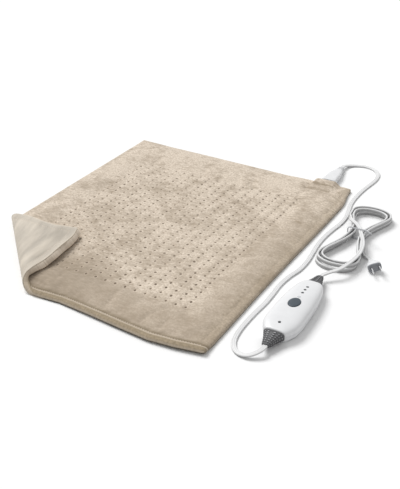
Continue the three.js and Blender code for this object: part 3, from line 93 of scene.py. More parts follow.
class PadSettings(bpy.types.PropertyGroup):
    """Sizes and colours of the plush pad"""

    width: length_prop("Width", "Short side of the pad", PAD_HIGH[0] - PAD_LOW[0])
    length: length_prop("Length", "Long side of the pad", PAD_HIGH[1] - PAD_LOW[1])
    corner: length_prop("Corner radius", "Radius of the pad's corners", 5)
    hem: length_prop("Hem width", "Width of the band that is sewn down along the edge", 12)
    row_pitch: length_prop("Row pitch", "Distance between two rows of sewn dots", 19.2)
    dot_pitch: length_prop("Dot pitch", "Distance between two dots of a row", 14.86)
    dot_size: length_prop("Dot size", "Length of one sewn dot", 6.2)
    stitch: length_prop("Stitch", "Length of one stitch of the hem seam", 3.2)
    rows: IntProperty(name="Rows", description="Number of rows of sewn dots", default=19, min=2)
    dots: IntProperty(name="Dots in a row", description="Number of sewn dots in one row", default=29, min=2)
    # Plush and nap are a lit and a shaded copy of one colour: their mix paints the light and shade of the
    # nap's patches and of the margins
    plush: colour_prop("Plush", "Colour of the plush with its nap towards the light", (0.87, 0.757, 0.629))
    nap: colour_prop("Nap", "Colour of the plush with its nap away from the light", (0.56, 0.452, 0.336))
    # Also the base of the painted shade in the seam grooves, on the hidden lower face and along the
    # underside's front edge
    hem_band: colour_prop("Hem band", "Colour of the sewn-down hem", (0.43, 0.345, 0.235))
    # Also the base of the painted shade in the dimple round each dot
    dot: colour_prop("Dots", "Colour of the sewn dots", (0.19, 0.14, 0.095))
    underside: colour_prop("Underside", "Colour of the smooth cloth under the pad", (0.6, 0.535, 0.445))


class CordSettings(bpy.types.PropertyGroup):
    """Sizes and colours of the cords"""

    lead_width: length_prop("Lead width", "Width of the flat lead to the pad", 8)
    mains_width: length_prop("Mains width", "Width of the flat mains cord", 7)
    thickness: length_prop("Thickness", "Thickness of both cords", 3.2)
    step: length_prop("Step", "Length of one step along a cord", 3)
    tie_wire: length_prop("Tie wire", "Diameter of the wire of the tie", 1.5)
    sheath: colour_prop("Sheath", "Colour of the cords", (0.8, 0.8, 0.8))
    tie: colour_prop("Tie", "Colour of the tie", (0.62, 0.63, 0.65))


class ControllerSettings(bpy.types.PropertyGroup):
    """Sizes and colours of the hand controller, the connector and the plug"""

    wall: length_prop("Wall", "Wall of the two shells", 2.2)
    parting: length_prop("Parting height", "Height of the joint between the shells", 11)
    rib_height: length_prop("Rib height", "Height of the pads on the strain reliefs", 1.0)
    shell: colour_prop("Shell", "Colour of the white mouldings", (0.80, 0.805, 0.815))
    boot: colour_prop("Boot", "Colour of the strain reliefs", (0.085, 0.085, 0.088))
    button: colour_prop("Button", "Colour of the push button", (0.036, 0.054, 0.072))
    plate: colour_prop("Plug face", "Colour of the plug's face", (0.25, 0.26, 0.28))
    mark: colour_prop("Mark", "Colour of the printed power mark", (0.3, 0.33, 0.37))


class StageSettings(bpy.types.PropertyGroup):
    """Light, floor and camera"""

    camera_place: FloatVectorProperty(
        name="Camera place", description="Place of the camera", size=3, subtype="TRANSLATION",
        default=(0.67133, -1.07958, 0.68319),
    )
    camera_turn: FloatVectorProperty(
        name="Camera turn", description="Turn of the camera", size=3, subtype="EULER",
        default=(math.radians(60.40), 0.0, math.radians(29.22)),
    )
    lens: FloatProperty(
        name="Lens", description="Focal length, in millimetres, for a 36 mm long side", default=58.28, min=1.0
    )
    key: FloatProperty(name="Key light", description="Strength of the key light", default=2.2, min=0.0)
    ambient: FloatProperty(name="Ambient", description="Strength of the light from all round", default=0.5)
    floor: colour_prop("Floor", "Colour of the floor as it lights the object", (0.8, 0.8, 0.8))


# Mesh helpers
def smoothstep(share):
    share = np.clip(share, 0.0, 1.0)
    return share * share * (3 - 2 * share)


def lerp(a, b, share):
    return a + (b - a) * share


def rise(value, start, reach):
    """Nothing up to the start, and one from a reach past it."""
    return smoothstep((value - start) / reach)


def bell(distance, width):
    """One in the middle, fading to both sides over a width."""
    return np.exp(-((distance / width) ** 2))


def put_in_scene(name, data):
    made = bpy.data.objects.new(name, data)
    bpy.context.scene.collection.objects.link(made)
    return made


def add_piece(name, points, faces, sharp_angle=None, edges=()):
    """A new object from points in millimetres, with its faces turned outwards."""
    mesh = bpy.data.meshes.new(name)
    mesh.from_pydata((np.asarray(points, dtype=float) * MM).tolist(), edges, faces)
    work = bmesh.new()
    work.from_mesh(mesh)
    bmesh.ops.recalc_face_normals(work, faces=work.faces)
    work.to_mesh(mesh)
    work.free()
    mesh.shade_smooth()
    if sharp_angle is not None:
        mesh.set_sharp_from_angle(angle=math.radians(sharp_angle))
    return put_in_scene(name, mesh)


def bake(piece):
    """Turns what the modifiers make into the piece's own mesh."""
    depsgraph = bpy.context.evaluated_depsgraph_get()
    mesh = bpy.data.meshes.new_from_object(
        piece.evaluated_get(depsgraph), preserve_all_data_layers=True, depsgraph=depsgraph
    )
    piece.modifiers.clear()
    piece.data = mesh
    return piece


def carve(piece, operation, tool):
    """Joins or cuts a piece with a tool, which is used up."""
    modifier = piece.modifiers.new(operation.title(), "BOOLEAN")
    modifier.operation = operation
    modifier.solver = "EXACT"
    modifier.object = tool
    bake(piece)
    bpy.data.objects.remove(tool)
    return piece


def sharpen(piece, angle):
    piece.data.shade_smooth()
    piece.data.set_sharp_from_angle(angle=math.radians(angle))
    return piece


def dress(piece, body, finish, nodes=()):
    """Gives a piece its body, finish and the CAD nodes that it stands for."""
    piece.data.materials.clear()
    piece.data.materials.append(finish)
    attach(piece, body)
    if nodes:
        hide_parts(*nodes)
    return piece


def sheet_corners(mesh):
    """The number of the point at each face corner of a mesh."""
    corners = np.empty(len(mesh.loops), dtype=np.int32)
    mesh.loops.foreach_get("vertex_index", corners)
    return corners


def write_values(mesh, name, values, domain="POINT", kind="FLOAT", field="value"):
    """A named attribute of a mesh."""
    layer = mesh.attributes.new(name, kind, domain)
    layer.data.foreach_set(field, np.ascontiguousarray(values).ravel())


def loft(rings):
    """Points and faces of a closed solid through rings of as many points each."""
    rings = [np.asarray(ring, dtype=float) for ring in rings]
    sides = len(rings[0])
    faces = []
    for start in range(0, (len(rings) - 1) * sides, sides):
        for j in range(sides):
            a, b = start + j, start + (j + 1) % sides
            faces.append((a, b, b + sides, a + sides))
    last = (len(rings) - 1) * sides
    faces.append(tuple(range(sides - 1, -1, -1)))
    faces.append(tuple(range(last, last + sides)))
    return np.concatenate(rings), faces


def joined(*solids):
    """Points and faces of several solids as one list."""
    points, faces, start = [], [], 0
    for some_points, some_faces in solids:
        points.append(np.asarray(some_points, dtype=float))
        faces.extend(tuple(v + start for v in face) for face in some_faces)
        start += len(some_points)
    return np.concatenate(points), faces


def circle(sides):
    """Cosines and sines once round."""
    turn = 2 * np.pi * np.arange(sides) / sides
    return np.cos(turn), np.sin(turn)


def oval_ring(y, z, half_width, up, down=None, round_up=3.0, round_down=None, sides=48, x=0.0):
    """An upright ring across Y, rounder or squarer by its two roundness powers."""
    down = up if down is None else down
    round_down = round_up if round_down is None else round_down
    c, s = circle(sides)
    power = 2 / np.where(s > 0, round_up, round_down)
    across = x + half_width * np.sign(c) * np.abs(c) ** power
    height = z + np.where(s > 0, up, down) * np.sign(s) * np.abs(s) ** power
    return np.stack([across, np.full(sides, y), height], axis=1)


def level_ring(x, y, z, half_width, half_length, sides):
    c, s = circle(sides)
    return np.stack([x + half_width * c, y + half_length * s, np.full(sides, z)], axis=1)


def rod(x, y, z0, z1, radius):
    return loft([level_ring(x, y, z, radius, radius, ROD_SIDES) for z in (z0, z1)])


def level_rod(x, z, y0, y1, radius):
    return loft([oval_ring(y, z, radius, radius, round_up=2.0, sides=ROD_SIDES, x=x) for y in (y0, y1)])


def block(low, high):
    (x0, y0, z0), (x1, y1, z1) = low, high
    return loft([[(x0, y0, z), (x1, y0, z), (x1, y1, z), (x0, y1, z)] for z in (z0, z1)])


# Cord helpers
def catmull_rom(points):
    """A dense centripetal Catmull-Rom curve through points."""
    points = np.asarray(points, dtype=float)
    before = 2 * points[0] - points[1]
    after = 2 * points[-1] - points[-2]
    padded = np.concatenate([[before], points, [after]])
    made = []
    for p0, p1, p2, p3 in zip(padded, padded[1:], padded[2:], padded[3:]):
        d0, d1, d2 = (max(np.linalg.norm(b - a) ** 0.5, 1e-4) for a, b in ((p0, p1), (p1, p2), (p2, p3)))
        m1 = ((p1 - p0) / d0 - (p2 - p0) / (d0 + d1) + (p2 - p1) / d1) * d1
        m2 = ((p2 - p1) / d1 - (p3 - p1) / (d1 + d2) + (p3 - p2) / d2) * d1
        t = (np.arange(CURVE_STEPS) / CURVE_STEPS)[:, None]
        curve = p1 + m1 * t + (3 * (p2 - p1) - 2 * m1 - m2) * t**2 + (2 * (p1 - p2) + m1 + m2) * t**3
        made.append(curve)
    return np.concatenate([*made, points[-1:]])


def evenly(path, step):
    """A path, of points with any further values beside them, at even steps along its first three values."""
    gaps = np.linalg.norm(np.diff(path[:, :3], axis=0), axis=1)
    along = np.concatenate([[0.0], np.cumsum(gaps)])
    places = np.linspace(0.0, along[-1], max(2, round(along[-1] / step)) + 1)
    return np.stack([np.interp(places, along, path[:, k]) for k in range(path.shape[1])], axis=1)


def sweep(path, section, rolls=None):
    """A closed tube along a path, as a section that can roll about it."""
    along = np.gradient(path, axis=0)
    along /= np.linalg.norm(along, axis=1)[:, None]
    across = np.cross(along, (0.0, 0.0, 1.0))
    across /= np.linalg.norm(across, axis=1)[:, None]
    upward = np.cross(across, along)
    rolls = np.zeros(len(path)) if rolls is None else rolls
    c, s = np.cos(rolls)[:, None, None], np.sin(rolls)[:, None, None]
    u, v = section[None, :, 0, None], section[None, :, 1, None]
    rings = path[:, None, :] + across[:, None, :] * (u * c - v * s) + upward[:, None, :] * (u * s + v * c)
    return loft(rings)


def flat_section(width, thickness, half):
    """A flat section from the shares of its upper right quarter, which start at the edge."""
    quarter = np.array(half) * (width / 2, thickness / 2)
    upper = np.concatenate([quarter, quarter[-2::-1] * (-1, 1)])
    return np.concatenate([upper, upper[-2:0:-1] * (1, -1)])


def round_section(radius, sides):
    return radius * np.stack(circle(sides), axis=1)


def from_corner(places):
    """Points measured from the pad's back right corner."""
    return np.array(places, dtype=float) + CORNER


def unit(*heading):
    return np.array(heading, dtype=float) / np.linalg.norm(heading)


# Finishes
def start_finish(name):
    finish = bpy.data.materials.new(name)
    finish.use_nodes = True
    return finish, finish.node_tree, finish.node_tree.nodes["Principled BSDF"]


def give(tree, made, inputs):
    """Gives a node's inputs plain values or other nodes' sockets."""
    for key, value in inputs.items():
        if isinstance(value, bpy.types.NodeSocket):
            tree.links.new(value, made.inputs[key])
        else:
            made.inputs[key].default_value = value


def node(tree, kind, inputs=None, **settings):
    made = tree.nodes.new(kind)
    for key, value in settings.items():
        setattr(made, key, value)
    give(tree, made, inputs or {})
    return made


def rgba(colour, level=1.0):
    return (*(min(1.0, channel * level) for channel in colour), 1.0)


def object_place(tree):
    return node(tree, "ShaderNodeTexCoord").outputs["Object"]


def grain(tree, place, scale, detail=3.0, roughness=0.55):
    inputs = {"Vector": place, "Scale": scale, "Detail": detail, "Roughness": roughness}
    return node(tree, "ShaderNodeTexNoise", inputs).outputs["Fac"]


def ranged(tree, value, low, high, to_low=0.0, to_high=1.0):
    inputs = {"Value": value, "From Min": low, "From Max": high, "To Min": to_low, "To Max": to_high}
    return node(tree, "ShaderNodeMapRange", inputs).outputs["Result"]


def mixed(tree, share, a, b):
    return node(tree, "ShaderNodeMix", {0: share, 6: a, 7: b}, data_type="RGBA").outputs[2]


def summed(tree, a, b, operation="ADD"):
    return node(tree, "ShaderNodeMath", {0: a, 1: b}, operation=operation).outputs[0]


def attribute(tree, name):
    return node(tree, "ShaderNodeAttribute", attribute_name=name).outputs["Fac"]


def scaled(tree, value, factor):
    return summed(tree, value, factor, "MULTIPLY")


def drawn_out(tree, place, turn, scale):
    """A place turned and stretched, so that a grain on it is drawn out into streaks."""
    inputs = {"Vector": place, "Rotation": (0.0, 0.0, turn), "Scale": (*scale, 1.0)}
    return node(tree, "ShaderNodeMapping", inputs).outputs[0]


def layered(tree, tint, layers):
    """A colour under layers, each given as its share and its colour, the last one on top."""
    for share, colour in layers:
        tint = mixed(tree, share, tint, colour)
    return tint


def bumped(tree, bsdf, height, strength, distance, normal=None):
    inputs = {"Height": height, "Strength": strength, "Distance": distance * MM}
    if normal is not None:
        inputs["Normal"] = normal
    made = node(tree, "ShaderNodeBump", inputs).outputs["Normal"]
    give(tree, bsdf, {"Normal": made})
    return made


def moulded(name, colour, roughness, spread=0.06, grain_scale=900.0, grain_depth=0.02, metal=0.0, coat=0.0):
    """A moulded or plated finish with faint mottling, a fine grain and uneven gloss."""
    finish, tree, bsdf = start_finish(name)
    place = object_place(tree)
    mottle = ranged(tree, grain(tree, place, 60.0), 0.3, 0.7)
    tint = mixed(tree, mottle, rgba(colour, 1 - spread), rgba(colour, 1 + spread / 2))
    fine = grain(tree, place, grain_scale, detail=2.0)
    gloss = ranged(tree, fine, 0.25, 0.75, roughness * 0.85, min(1.0, roughness * 1.2))
    give(tree, bsdf, {"Base Color": tint, "Roughness": gloss, "Metallic": metal})
    give(tree, bsdf, {"Coat Weight": coat, "Coat Roughness": 0.25})
    bumped(tree, bsdf, fine, 0.35, grain_depth)
    return finish


def boot_finish(name, colour):
    """Strain relief rubber, with a painted highlight on the tops of its grip pads."""
    finish = moulded(name, colour, 0.5, 0.15, 500.0, 0.04)
    tree = finish.node_tree
    bsdf = tree.nodes["Principled BSDF"]
    plain = bsdf.inputs["Base Color"].links[0].from_socket
    # Painted highlight on the tops of the grip pads
    give(tree, bsdf, {"Base Color": mixed(tree, attribute(tree, "raised"), plain, rgba(colour, 4.0))})
    return finish


def plush_finish(pad):
    """Short plush: nap that lies both ways in patches, painted as a lit and a shaded copy of its colour,
    fibres, and a darker sewn-down hem that is partly painted shade; painted shade towards the front and right
    margins and painted light towards the back, painted shade in the dots' dimples with a paler ring round
    each dot, in the seam's grooves, in the pocket's creases and on the hidden lower face, and a painted
    highlight on the hem's ridge.
    """
    finish, tree, bsdf = start_finish("plush_finish")
    flat = node(tree, "ShaderNodeUVMap", uv_map="flat").outputs["UV"]
    painted_shading, near_dot = attribute(tree, "painted_shading"), attribute(tree, "near_dot")
    patches = summed(tree, grain(tree, flat, 13.0, 2.0), grain(tree, flat, 42.0, 4.0, 0.6))
    streaks = grain(tree, drawn_out(tree, flat, 0.35, (1.0, 2.6)), 75.0, 3.0, 0.6)
    patches = summed(tree, patches, scaled(tree, streaks, 0.9))
    # Painted shading: less of the plush colour towards the front and right margins as painted shade, more
    # towards the back as painted light
    painted_lightness = ranged(tree, painted_shading, -1.0, 1.25, 1.8, 0.0)
    nap = scaled(tree, ranged(tree, patches, 1.06, 1.62), painted_lightness)
    deep_painted_shade = ranged(tree, painted_shading, 0.75, 1.2)
    streaked = ranged(tree, streaks, 0.34, 0.66, 0.8, 0.05)
    fibre = grain(tree, flat, 270.0, 4.0, 0.75)
    shade = ranged(tree, fibre, 0.62, 0.34)
    hem = mixed(tree, shade, rgba(pad.hem_band, 1.05), rgba(pad.hem_band, 0.62))
    # Lit and shaded copies of the plush colour, mixed by the nap's patches and the painted shading
    pile = mixed(tree, nap, rgba(pad.nap, 0.72), rgba(pad.plush))
    tint = layered(tree, pile, (
        # Deepest painted shade at the front, in streaks
        (scaled(tree, deep_painted_shade, streaked), rgba(pad.nap, 0.46)),
        (scaled(tree, shade, 0.78), rgba(pad.nap, 0.7)),
        # Round each sewn dot: a paler ring, and painted shade in its dimple
        (ranged(tree, near_dot, 0.1, 0.7, 0.0, 0.35), rgba(pad.plush, 1.12)),
        (ranged(tree, near_dot, 0.32, 0.76, 0.0, 0.75), rgba(pad.dot, 2.2)),
        # The hem's own colour along the front, deepened by painted shade, and painted shade along the right
        # rim
        (attribute(tree, "hem"), hem),
        # Painted shade in the seam grooves and the pocket's creases
        (scaled(tree, attribute(tree, "seam"), 0.85), rgba(pad.hem_band, 0.66)),
        # Painted highlight on the hem's ridge, and a paler line at its rim
        (scaled(tree, attribute(tree, "ridge"), 0.5), rgba(pad.plush, 0.95)),
        (attribute(tree, "shaded"), rgba(pad.hem_band, 0.25)),
    ))
    give(tree, bsdf, {"Base Color": tint, "Roughness": 0.92, "Specular IOR Level": 0.15})
    give(tree, bsdf, {"Sheen Weight": 0.22, "Sheen Roughness": 0.45})
    soft = bumped(tree, bsdf, grain(tree, flat, 60.0, 3.0), 0.4, 0.8)
    bumped(tree, bsdf, fibre, 0.6, 1.0, soft)
    return finish


def underside_finish(pad):
    """Smooth tight cloth with a fine weave, soft creases with painted light and shade on them, and a slight
    satin.
    """
    finish, tree, bsdf = start_finish("underside_finish")
    flat = node(tree, "ShaderNodeUVMap", uv_map="flat").outputs["UV"]
    creases = grain(tree, drawn_out(tree, flat, 0.9, (1.0, 3.2)), 14.0, 3.0, 0.5)
    # Painted light and shade of the soft creases
    crease_light_and_shade = ranged(tree, creases, 0.34, 0.66)
    cloth = mixed(tree, crease_light_and_shade, rgba(pad.underside, 0.77), rgba(pad.underside, 1.12))
    tint = layered(tree, cloth, (
        (ranged(tree, attribute(tree, "hem"), 0.0, 1.0, 0.0, 0.35), rgba(pad.underside, 0.8)),
        (attribute(tree, "turned"), rgba(pad.underside, 1.25)),
        (attribute(tree, "shaded"), rgba(pad.hem_band, 0.16)),
    ))
    give(tree, bsdf, {"Base Color": tint, "Roughness": 0.62, "Specular IOR Level": 0.35})
    give(tree, bsdf, {"Sheen Weight": 0.15})
    warp, weft = (
        node(tree, "ShaderNodeTexWave", {"Vector": flat, "Scale": 190.0}, bands_direction=way).outputs["Fac"]
        for way in "XY"
    )
    soft = bumped(tree, bsdf, creases, 0.6, 5.0)
    bumped(tree, bsdf, summed(tree, warp, weft), 0.25, 0.08, soft)
    return finish


def felt_finish(name, colour):
    finish, tree, bsdf = start_finish(name)
    fibre = grain(tree, object_place(tree), 420.0, 4.0, 0.7)
    tint = mixed(tree, ranged(tree, fibre, 0.3, 0.7), rgba(colour, 0.82), rgba(colour))
    give(tree, bsdf, {"Base Color": tint, "Roughness": 0.95, "Sheen Weight": 0.2})
    bumped(tree, bsdf, fibre, 0.6, 0.4)
    return finish


def sheath_finish(name, colour):
    """Cord sheath: extruded, so that faint streaks run along it, with painted shade that darkens it towards
    its underside.
    """
    finish, tree, bsdf = start_finish(name)
    along = node(tree, "ShaderNodeUVMap", uv_map="along").outputs["UV"]
    streaks = grain(tree, drawn_out(tree, along, 0.0, (6.0, 40.0)), 2.0)
    tint = mixed(tree, ranged(tree, streaks, 0.3, 0.7), rgba(colour, 0.93), rgba(colour, 1.02))
    # Painted shade: the further a point lies below the cord's top, the darker
    cord_shade = ranged(tree, attribute(tree, "cord_shade"), 0.2, 1.0)
    tint = mixed(tree, cord_shade, tint, rgba(colour, 0.5))
    gloss = ranged(tree, grain(tree, object_place(tree), 300.0), 0.3, 0.7, 0.36, 0.5)
    give(tree, bsdf, {"Base Color": tint, "Roughness": gloss})
    bumped(tree, bsdf, streaks, 0.2, 0.06)
    return finish


def board_finish(name, colour):
    """Board lacquer with a faint grid of copper tracks under it."""
    finish, tree, bsdf = start_finish(name)
    place = object_place(tree)
    tracks = node(tree, "ShaderNodeTexBrick", {
        "Vector": place, "Scale": 160.0, "Mortar Size": 0.03,
        "Color1": rgba(colour), "Color2": rgba(colour, 0.8), "Mortar": rgba(colour, 2.2),
    })
    gloss = ranged(tree, grain(tree, place, 500.0), 0.3, 0.7, 0.25, 0.4)
    give(tree, bsdf, {"Base Color": tracks.outputs["Color"], "Roughness": gloss})
    bumped(tree, bsdf, tracks.outputs["Fac"], 0.3, 0.04)
    return finish


# Geometry Nodes helpers
def start_tree(name, inputs):
    tree = bpy.data.node_groups.new(name, "GeometryNodeTree")
    tree.interface.new_socket("Geometry", in_out="INPUT", socket_type="NodeSocketGeometry")
    for label, kind, default in inputs:
        socket = tree.interface.new_socket(label, in_out="INPUT", socket_type=f"NodeSocket{kind}")
        if default is not None:
            socket.default_value = default
    tree.interface.new_socket("Geometry", in_out="OUTPUT", socket_type="NodeSocketGeometry")
    return tree, node(tree, "NodeGroupInput").outputs


def end_tree(tree, geometry, given):
    """Ends a tree in real geometry with its material."""
    real = node(tree, "GeometryNodeRealizeInstances", {"Geometry": geometry}).outputs[0]
    inputs = {"Geometry": real, "Material": given["Material"]}
    node(tree, "NodeGroupOutput", {"Geometry": node(tree, "GeometryNodeSetMaterial", inputs).outputs[0]})
    return tree


def run_tree(piece, tree, values):
    modifier = piece.modifiers.new(tree.name, "NODES")
    modifier.node_group = tree
    for item in tree.interface.items_tree:
        if item.in_out == "INPUT" and item.name in values:
            modifier[item.identifier] = values[item.name]
    return bake(piece)


def named_values(tree, name, kind):
    return node(tree, "GeometryNodeInputNamedAttribute", {"Name": name}, data_type=kind).outputs[0]


def threads_on(tree, points, segments, size, facing):
    """A short thread on each point, turned to face along a vector."""
    inputs = {"Segments": segments, "Rings": 5, "Radius": 0.5}
    thread = node(tree, "GeometryNodeMeshUVSphere", inputs).outputs["Mesh"]
    turn = node(tree, "FunctionNodeAlignRotationToVector", {"Vector": facing}, axis="Z").outputs[0]
    inputs = {"Points": points, "Instance": thread, "Rotation": turn, "Scale": size}
    return node(tree, "GeometryNodeInstanceOnPoints", inputs).outputs[0]


def dot_tree():
    """Sewn dots: a flat knot of thread on each point, turned to the cloth and slightly uneven in size."""
    tree, given = start_tree("sewn_dot_tree", [
        ("Length", "Float", 0.003), ("Width", "Float", 0.002), ("Height", "Float", 0.001),
        ("Seed", "Int", 7), ("Material", "Material", None),
    ])
    sides = {0: given["Width"], 1: given["Length"], 2: given["Height"]}
    size = node(tree, "ShaderNodeCombineXYZ", sides).outputs[0]
    uneven = node(tree, "FunctionNodeRandomValue", {2: 0.75, 3: 1.15, "Seed": given["Seed"]}).outputs[1]
    size = node(tree, "ShaderNodeVectorMath", {0: size, "Scale": uneven}, operation="SCALE").outputs[0]
    facing = named_values(tree, "facing", "FLOAT_VECTOR")
    return end_tree(tree, threads_on(tree, given["Geometry"], 8, size, facing), given)


def stitch_tree():
    """Seam: one short thread after another along each line of the piece."""
    tree, given = start_tree("hem_stitch_tree", [
        ("Stitch", "Float", 0.0032), ("Gap", "Float", 0.001), ("Thread", "Float", 0.0008),
        ("Material", "Material", None),
    ])
    line = node(tree, "GeometryNodeMeshToCurve", {"Mesh": given["Geometry"]}).outputs[0]
    pitch = summed(tree, given["Stitch"], given["Gap"])
    inputs = {"Curve": line, "Length": pitch}
    spots = node(tree, "GeometryNodeResampleCurve", inputs, mode="LENGTH").outputs[0]
    sides = {0: given["Thread"], 1: given["Thread"], 2: given["Stitch"]}
    size = node(tree, "ShaderNodeCombineXYZ", sides).outputs[0]
    along = node(tree, "GeometryNodeInputTangent").outputs[0]
    return end_tree(tree, threads_on(tree, spots, 6, size, along), given)


def rib_tree():
    """Grip pads: each marked face of a strain relief stands up and narrows towards its top."""
    tree, given = start_tree("grip_pad_tree", [
        ("Height", "Float", 0.0005), ("Top share", "Float", 0.75), ("Material", "Material", None),
    ])
    marked = named_values(tree, "grip_pad", "BOOLEAN")
    raised = node(tree, "GeometryNodeExtrudeMesh", {
        "Mesh": given["Geometry"], "Selection": marked, "Offset Scale": given["Height"], "Individual": True,
    }, mode="FACES")
    narrowed = node(tree, "GeometryNodeScaleElements", {
        "Geometry": raised.outputs["Mesh"], "Selection": raised.outputs["Top"], "Scale": given["Top share"],
    }, domain="FACE").outputs[0]
    # Marks the pads' tops, which the boot finish paints with a highlight
    noted = node(tree, "GeometryNodeStoreNamedAttribute", {
        "Geometry": narrowed, "Name": "raised", "Value": raised.outputs["Top"],
    }, data_type="FLOAT", domain="FACE").outputs[0]
    return end_tree(tree, noted, given)


# Pad: how its cloth lies
FOLD_PLACE = np.array((PAD_LOW[0], -112.0))
FOLD_ACROSS = unit(-193.0, -194.0)
FOLD_RADIUS = 13.0
FOLD_WRAP = math.radians(173)
FLAP_CURL = 0.0018
FLAP_SHEAR = 0.28
FLAP_FILL = 5.0
ROLL_FILL = 2.8
FLAP_DROOP = 3.5
DROOP_START = 3.0
DROOP_REACH = 34.0
ROLL_SHEAR = 0.42
ROLL_REACH = 140.0
SOCKET_X = GRIP_LOW[0] + (GRIP_HIGH[0] - GRIP_LOW[0]) / 2
POCKET_HALF = 20.0
POCKET_SLOPE = 4.5
POCKET_RAMP = 9.0
POCKET_FRONT = 265.0
POCKET_TOP = 13.7
POCKET_UNDERSIDE = 12.7
# The pocket's mouth is turned over: how far it reaches in, and how proud it stands
POCKET_TURN = 24.0
POCKET_TURN_STEP = 1.5
POCKET_TURN_EDGE = 3.0
MOUTH_DROP = 1.6
MOUTH_ROUND = 1.5
HEM_UNDERSIDE = 1.5
PLUSH_THICKNESS = 2.6
CROWN = 1.0
CROWN_REACH = (216, 267)
ROW_CENTRE = -3.0
FIRST_DOT = -219.0
DOT_DEPTH = 1.9
DOT_PULL = (0.2, 0.8)
DOT_NARROW = 0.78
DOT_HEIGHT = 1.8
SEAM_DEPTH = 1.9
SEAM_WIDTH = 1.7
STITCH_GAP = 1.1
STITCH_THREAD = 0.8
UNDER_STITCH = 0.45
FRONT_LIFT = 1.8
CORNER_LIFT = 1.2
FLAP_ROLL = 7.0
ROLL_WIDTH = 14.0
ROLL_END = 30.0
ROLL_HEIGHT = 9.0
THREAD_RISE = 0.25
UNDERSIDE_THICKNESS = 1.25
CLOTH_STEP = 6.0
HELD_BORDER = 14.0

# Where each share of a side starts, and over what length it grows to one
RIGHT_SIDE = (120.0, 130.0)
FRONT_AND_BACK = (170.0, 130.0)
LEFT_SIDE = (200.0, 50.0)
RIGHT_DRAW = (-250.0, 420.0)
BACK_CORNER_X = (226.0, 28.0)
BACK_CORNER_Y = (225.0, 75.0)
LIFTED_X = (-60.0, 120.0)
LIFTED_CORNER_X = (120.0, 110.0)
LIFTED_FRONT = (275.0, 30.0)
FLAP_FREE = (25.0, 40.0)
FLAP_WAVED = (20.0, 60.0)
FLAP_DROOPS = (5.0, 25.0)
ROLL_FILLED = (-6.0, 20.0)
# Where the painted shade along the right rim starts
RIGHT_RIM_SHADE = (218.0, 36.0)

# How far the sides have moved, in millimetres, at places along them
RIGHT_INWARDS = (2.0, 9.5)
BACK_CORNER_INWARDS = 9.0
BACK_MOVES = ((-254, -160, -90, 20, 110, 150, 230, 254), (11, 5, 3, -2, -6, -4, -4, -6))
FRONT_MOVES = (
    (-254, -232, -210, -190, -175, -145, -117, -60, -15, 46, 103, 158, 205, 254),
    (0, -7, -9, -8, -6, -1, 4, 4, 7, 1, -5, -10, -7, 1),
)
LEFT_MOVES = ((-305, -290, -265, -240, -205, -170), (0, 4, 10, 8, 2, 0))

# Folds of the turned-over corner: height, length along the fold, length across it and phase
FLAP_WAVES = ((1.0, 17.0, 60.0, 0.0), (0.7, 9.5, -31.0, 1.3), (0.8, 70.0, 14.0, 0.4), (1.1, 31.0, -45.0, 0.0))
WAVE_SIZE = 0.85
WAVE_ROUND = 0.3
WAVE_LEVEL = 0.27

# Height of the plush at distances from the edge: a rounded rim and the drawn-in side
EDGE_PROFILE = np.array([
    (0.0, 3.8), (0.5, 5.3), (1.8, 6.8), (4.5, 7.8), (8.0, 8.3), (10.6, 8.5), (12.2, 8.6), (14.0, 8.75),
    (18.0, 9.1), (25.0, 9.5), (33.0, 9.85), (42.0, 10.1),
])
SEAM_INSET = 12.2


def front_distance(pad, y):
    """Distance from the front edge, whose seam and hem show."""
    return pad.length / MM / 2 + y


def settle(x, y):
    """Where the cloth lies in its own plane: its sides are drawn in or let out by some millimetres."""
    inwards = rise(x, *RIGHT_SIDE) * lerp(*RIGHT_INWARDS, rise(-y, *RIGHT_DRAW))
    inwards = inwards + BACK_CORNER_INWARDS * rise(x, *BACK_CORNER_X) * rise(y, *BACK_CORNER_Y)
    inwards = inwards - np.interp(y, *LEFT_MOVES) * rise(-x, *LEFT_SIDE)
    back = rise(y, *FRONT_AND_BACK) * np.interp(x, *BACK_MOVES)
    front = rise(-y, *FRONT_AND_BACK) * np.interp(x, *FRONT_MOVES)
    return x - inwards, y + back + front


def front_lift(x, y):
    """How far the front edge stands off the floor: a little, to the right of the fold."""
    lift = FRONT_LIFT * rise(x, *LIFTED_X) + CORNER_LIFT * rise(x, *LIFTED_CORNER_X)
    return lift * rise(-y, *LIFTED_FRONT)


def past_fold(x, y):
    return FOLD_ACROSS[0] * (x - FOLD_PLACE[0]) + FOLD_ACROSS[1] * (y - FOLD_PLACE[1])


def along_fold(x, y):
    """Distance along the fold, from its back end."""
    return FOLD_ACROSS[0] * (y - FOLD_PLACE[1]) - FOLD_ACROSS[1] * (x - FOLD_PLACE[0])


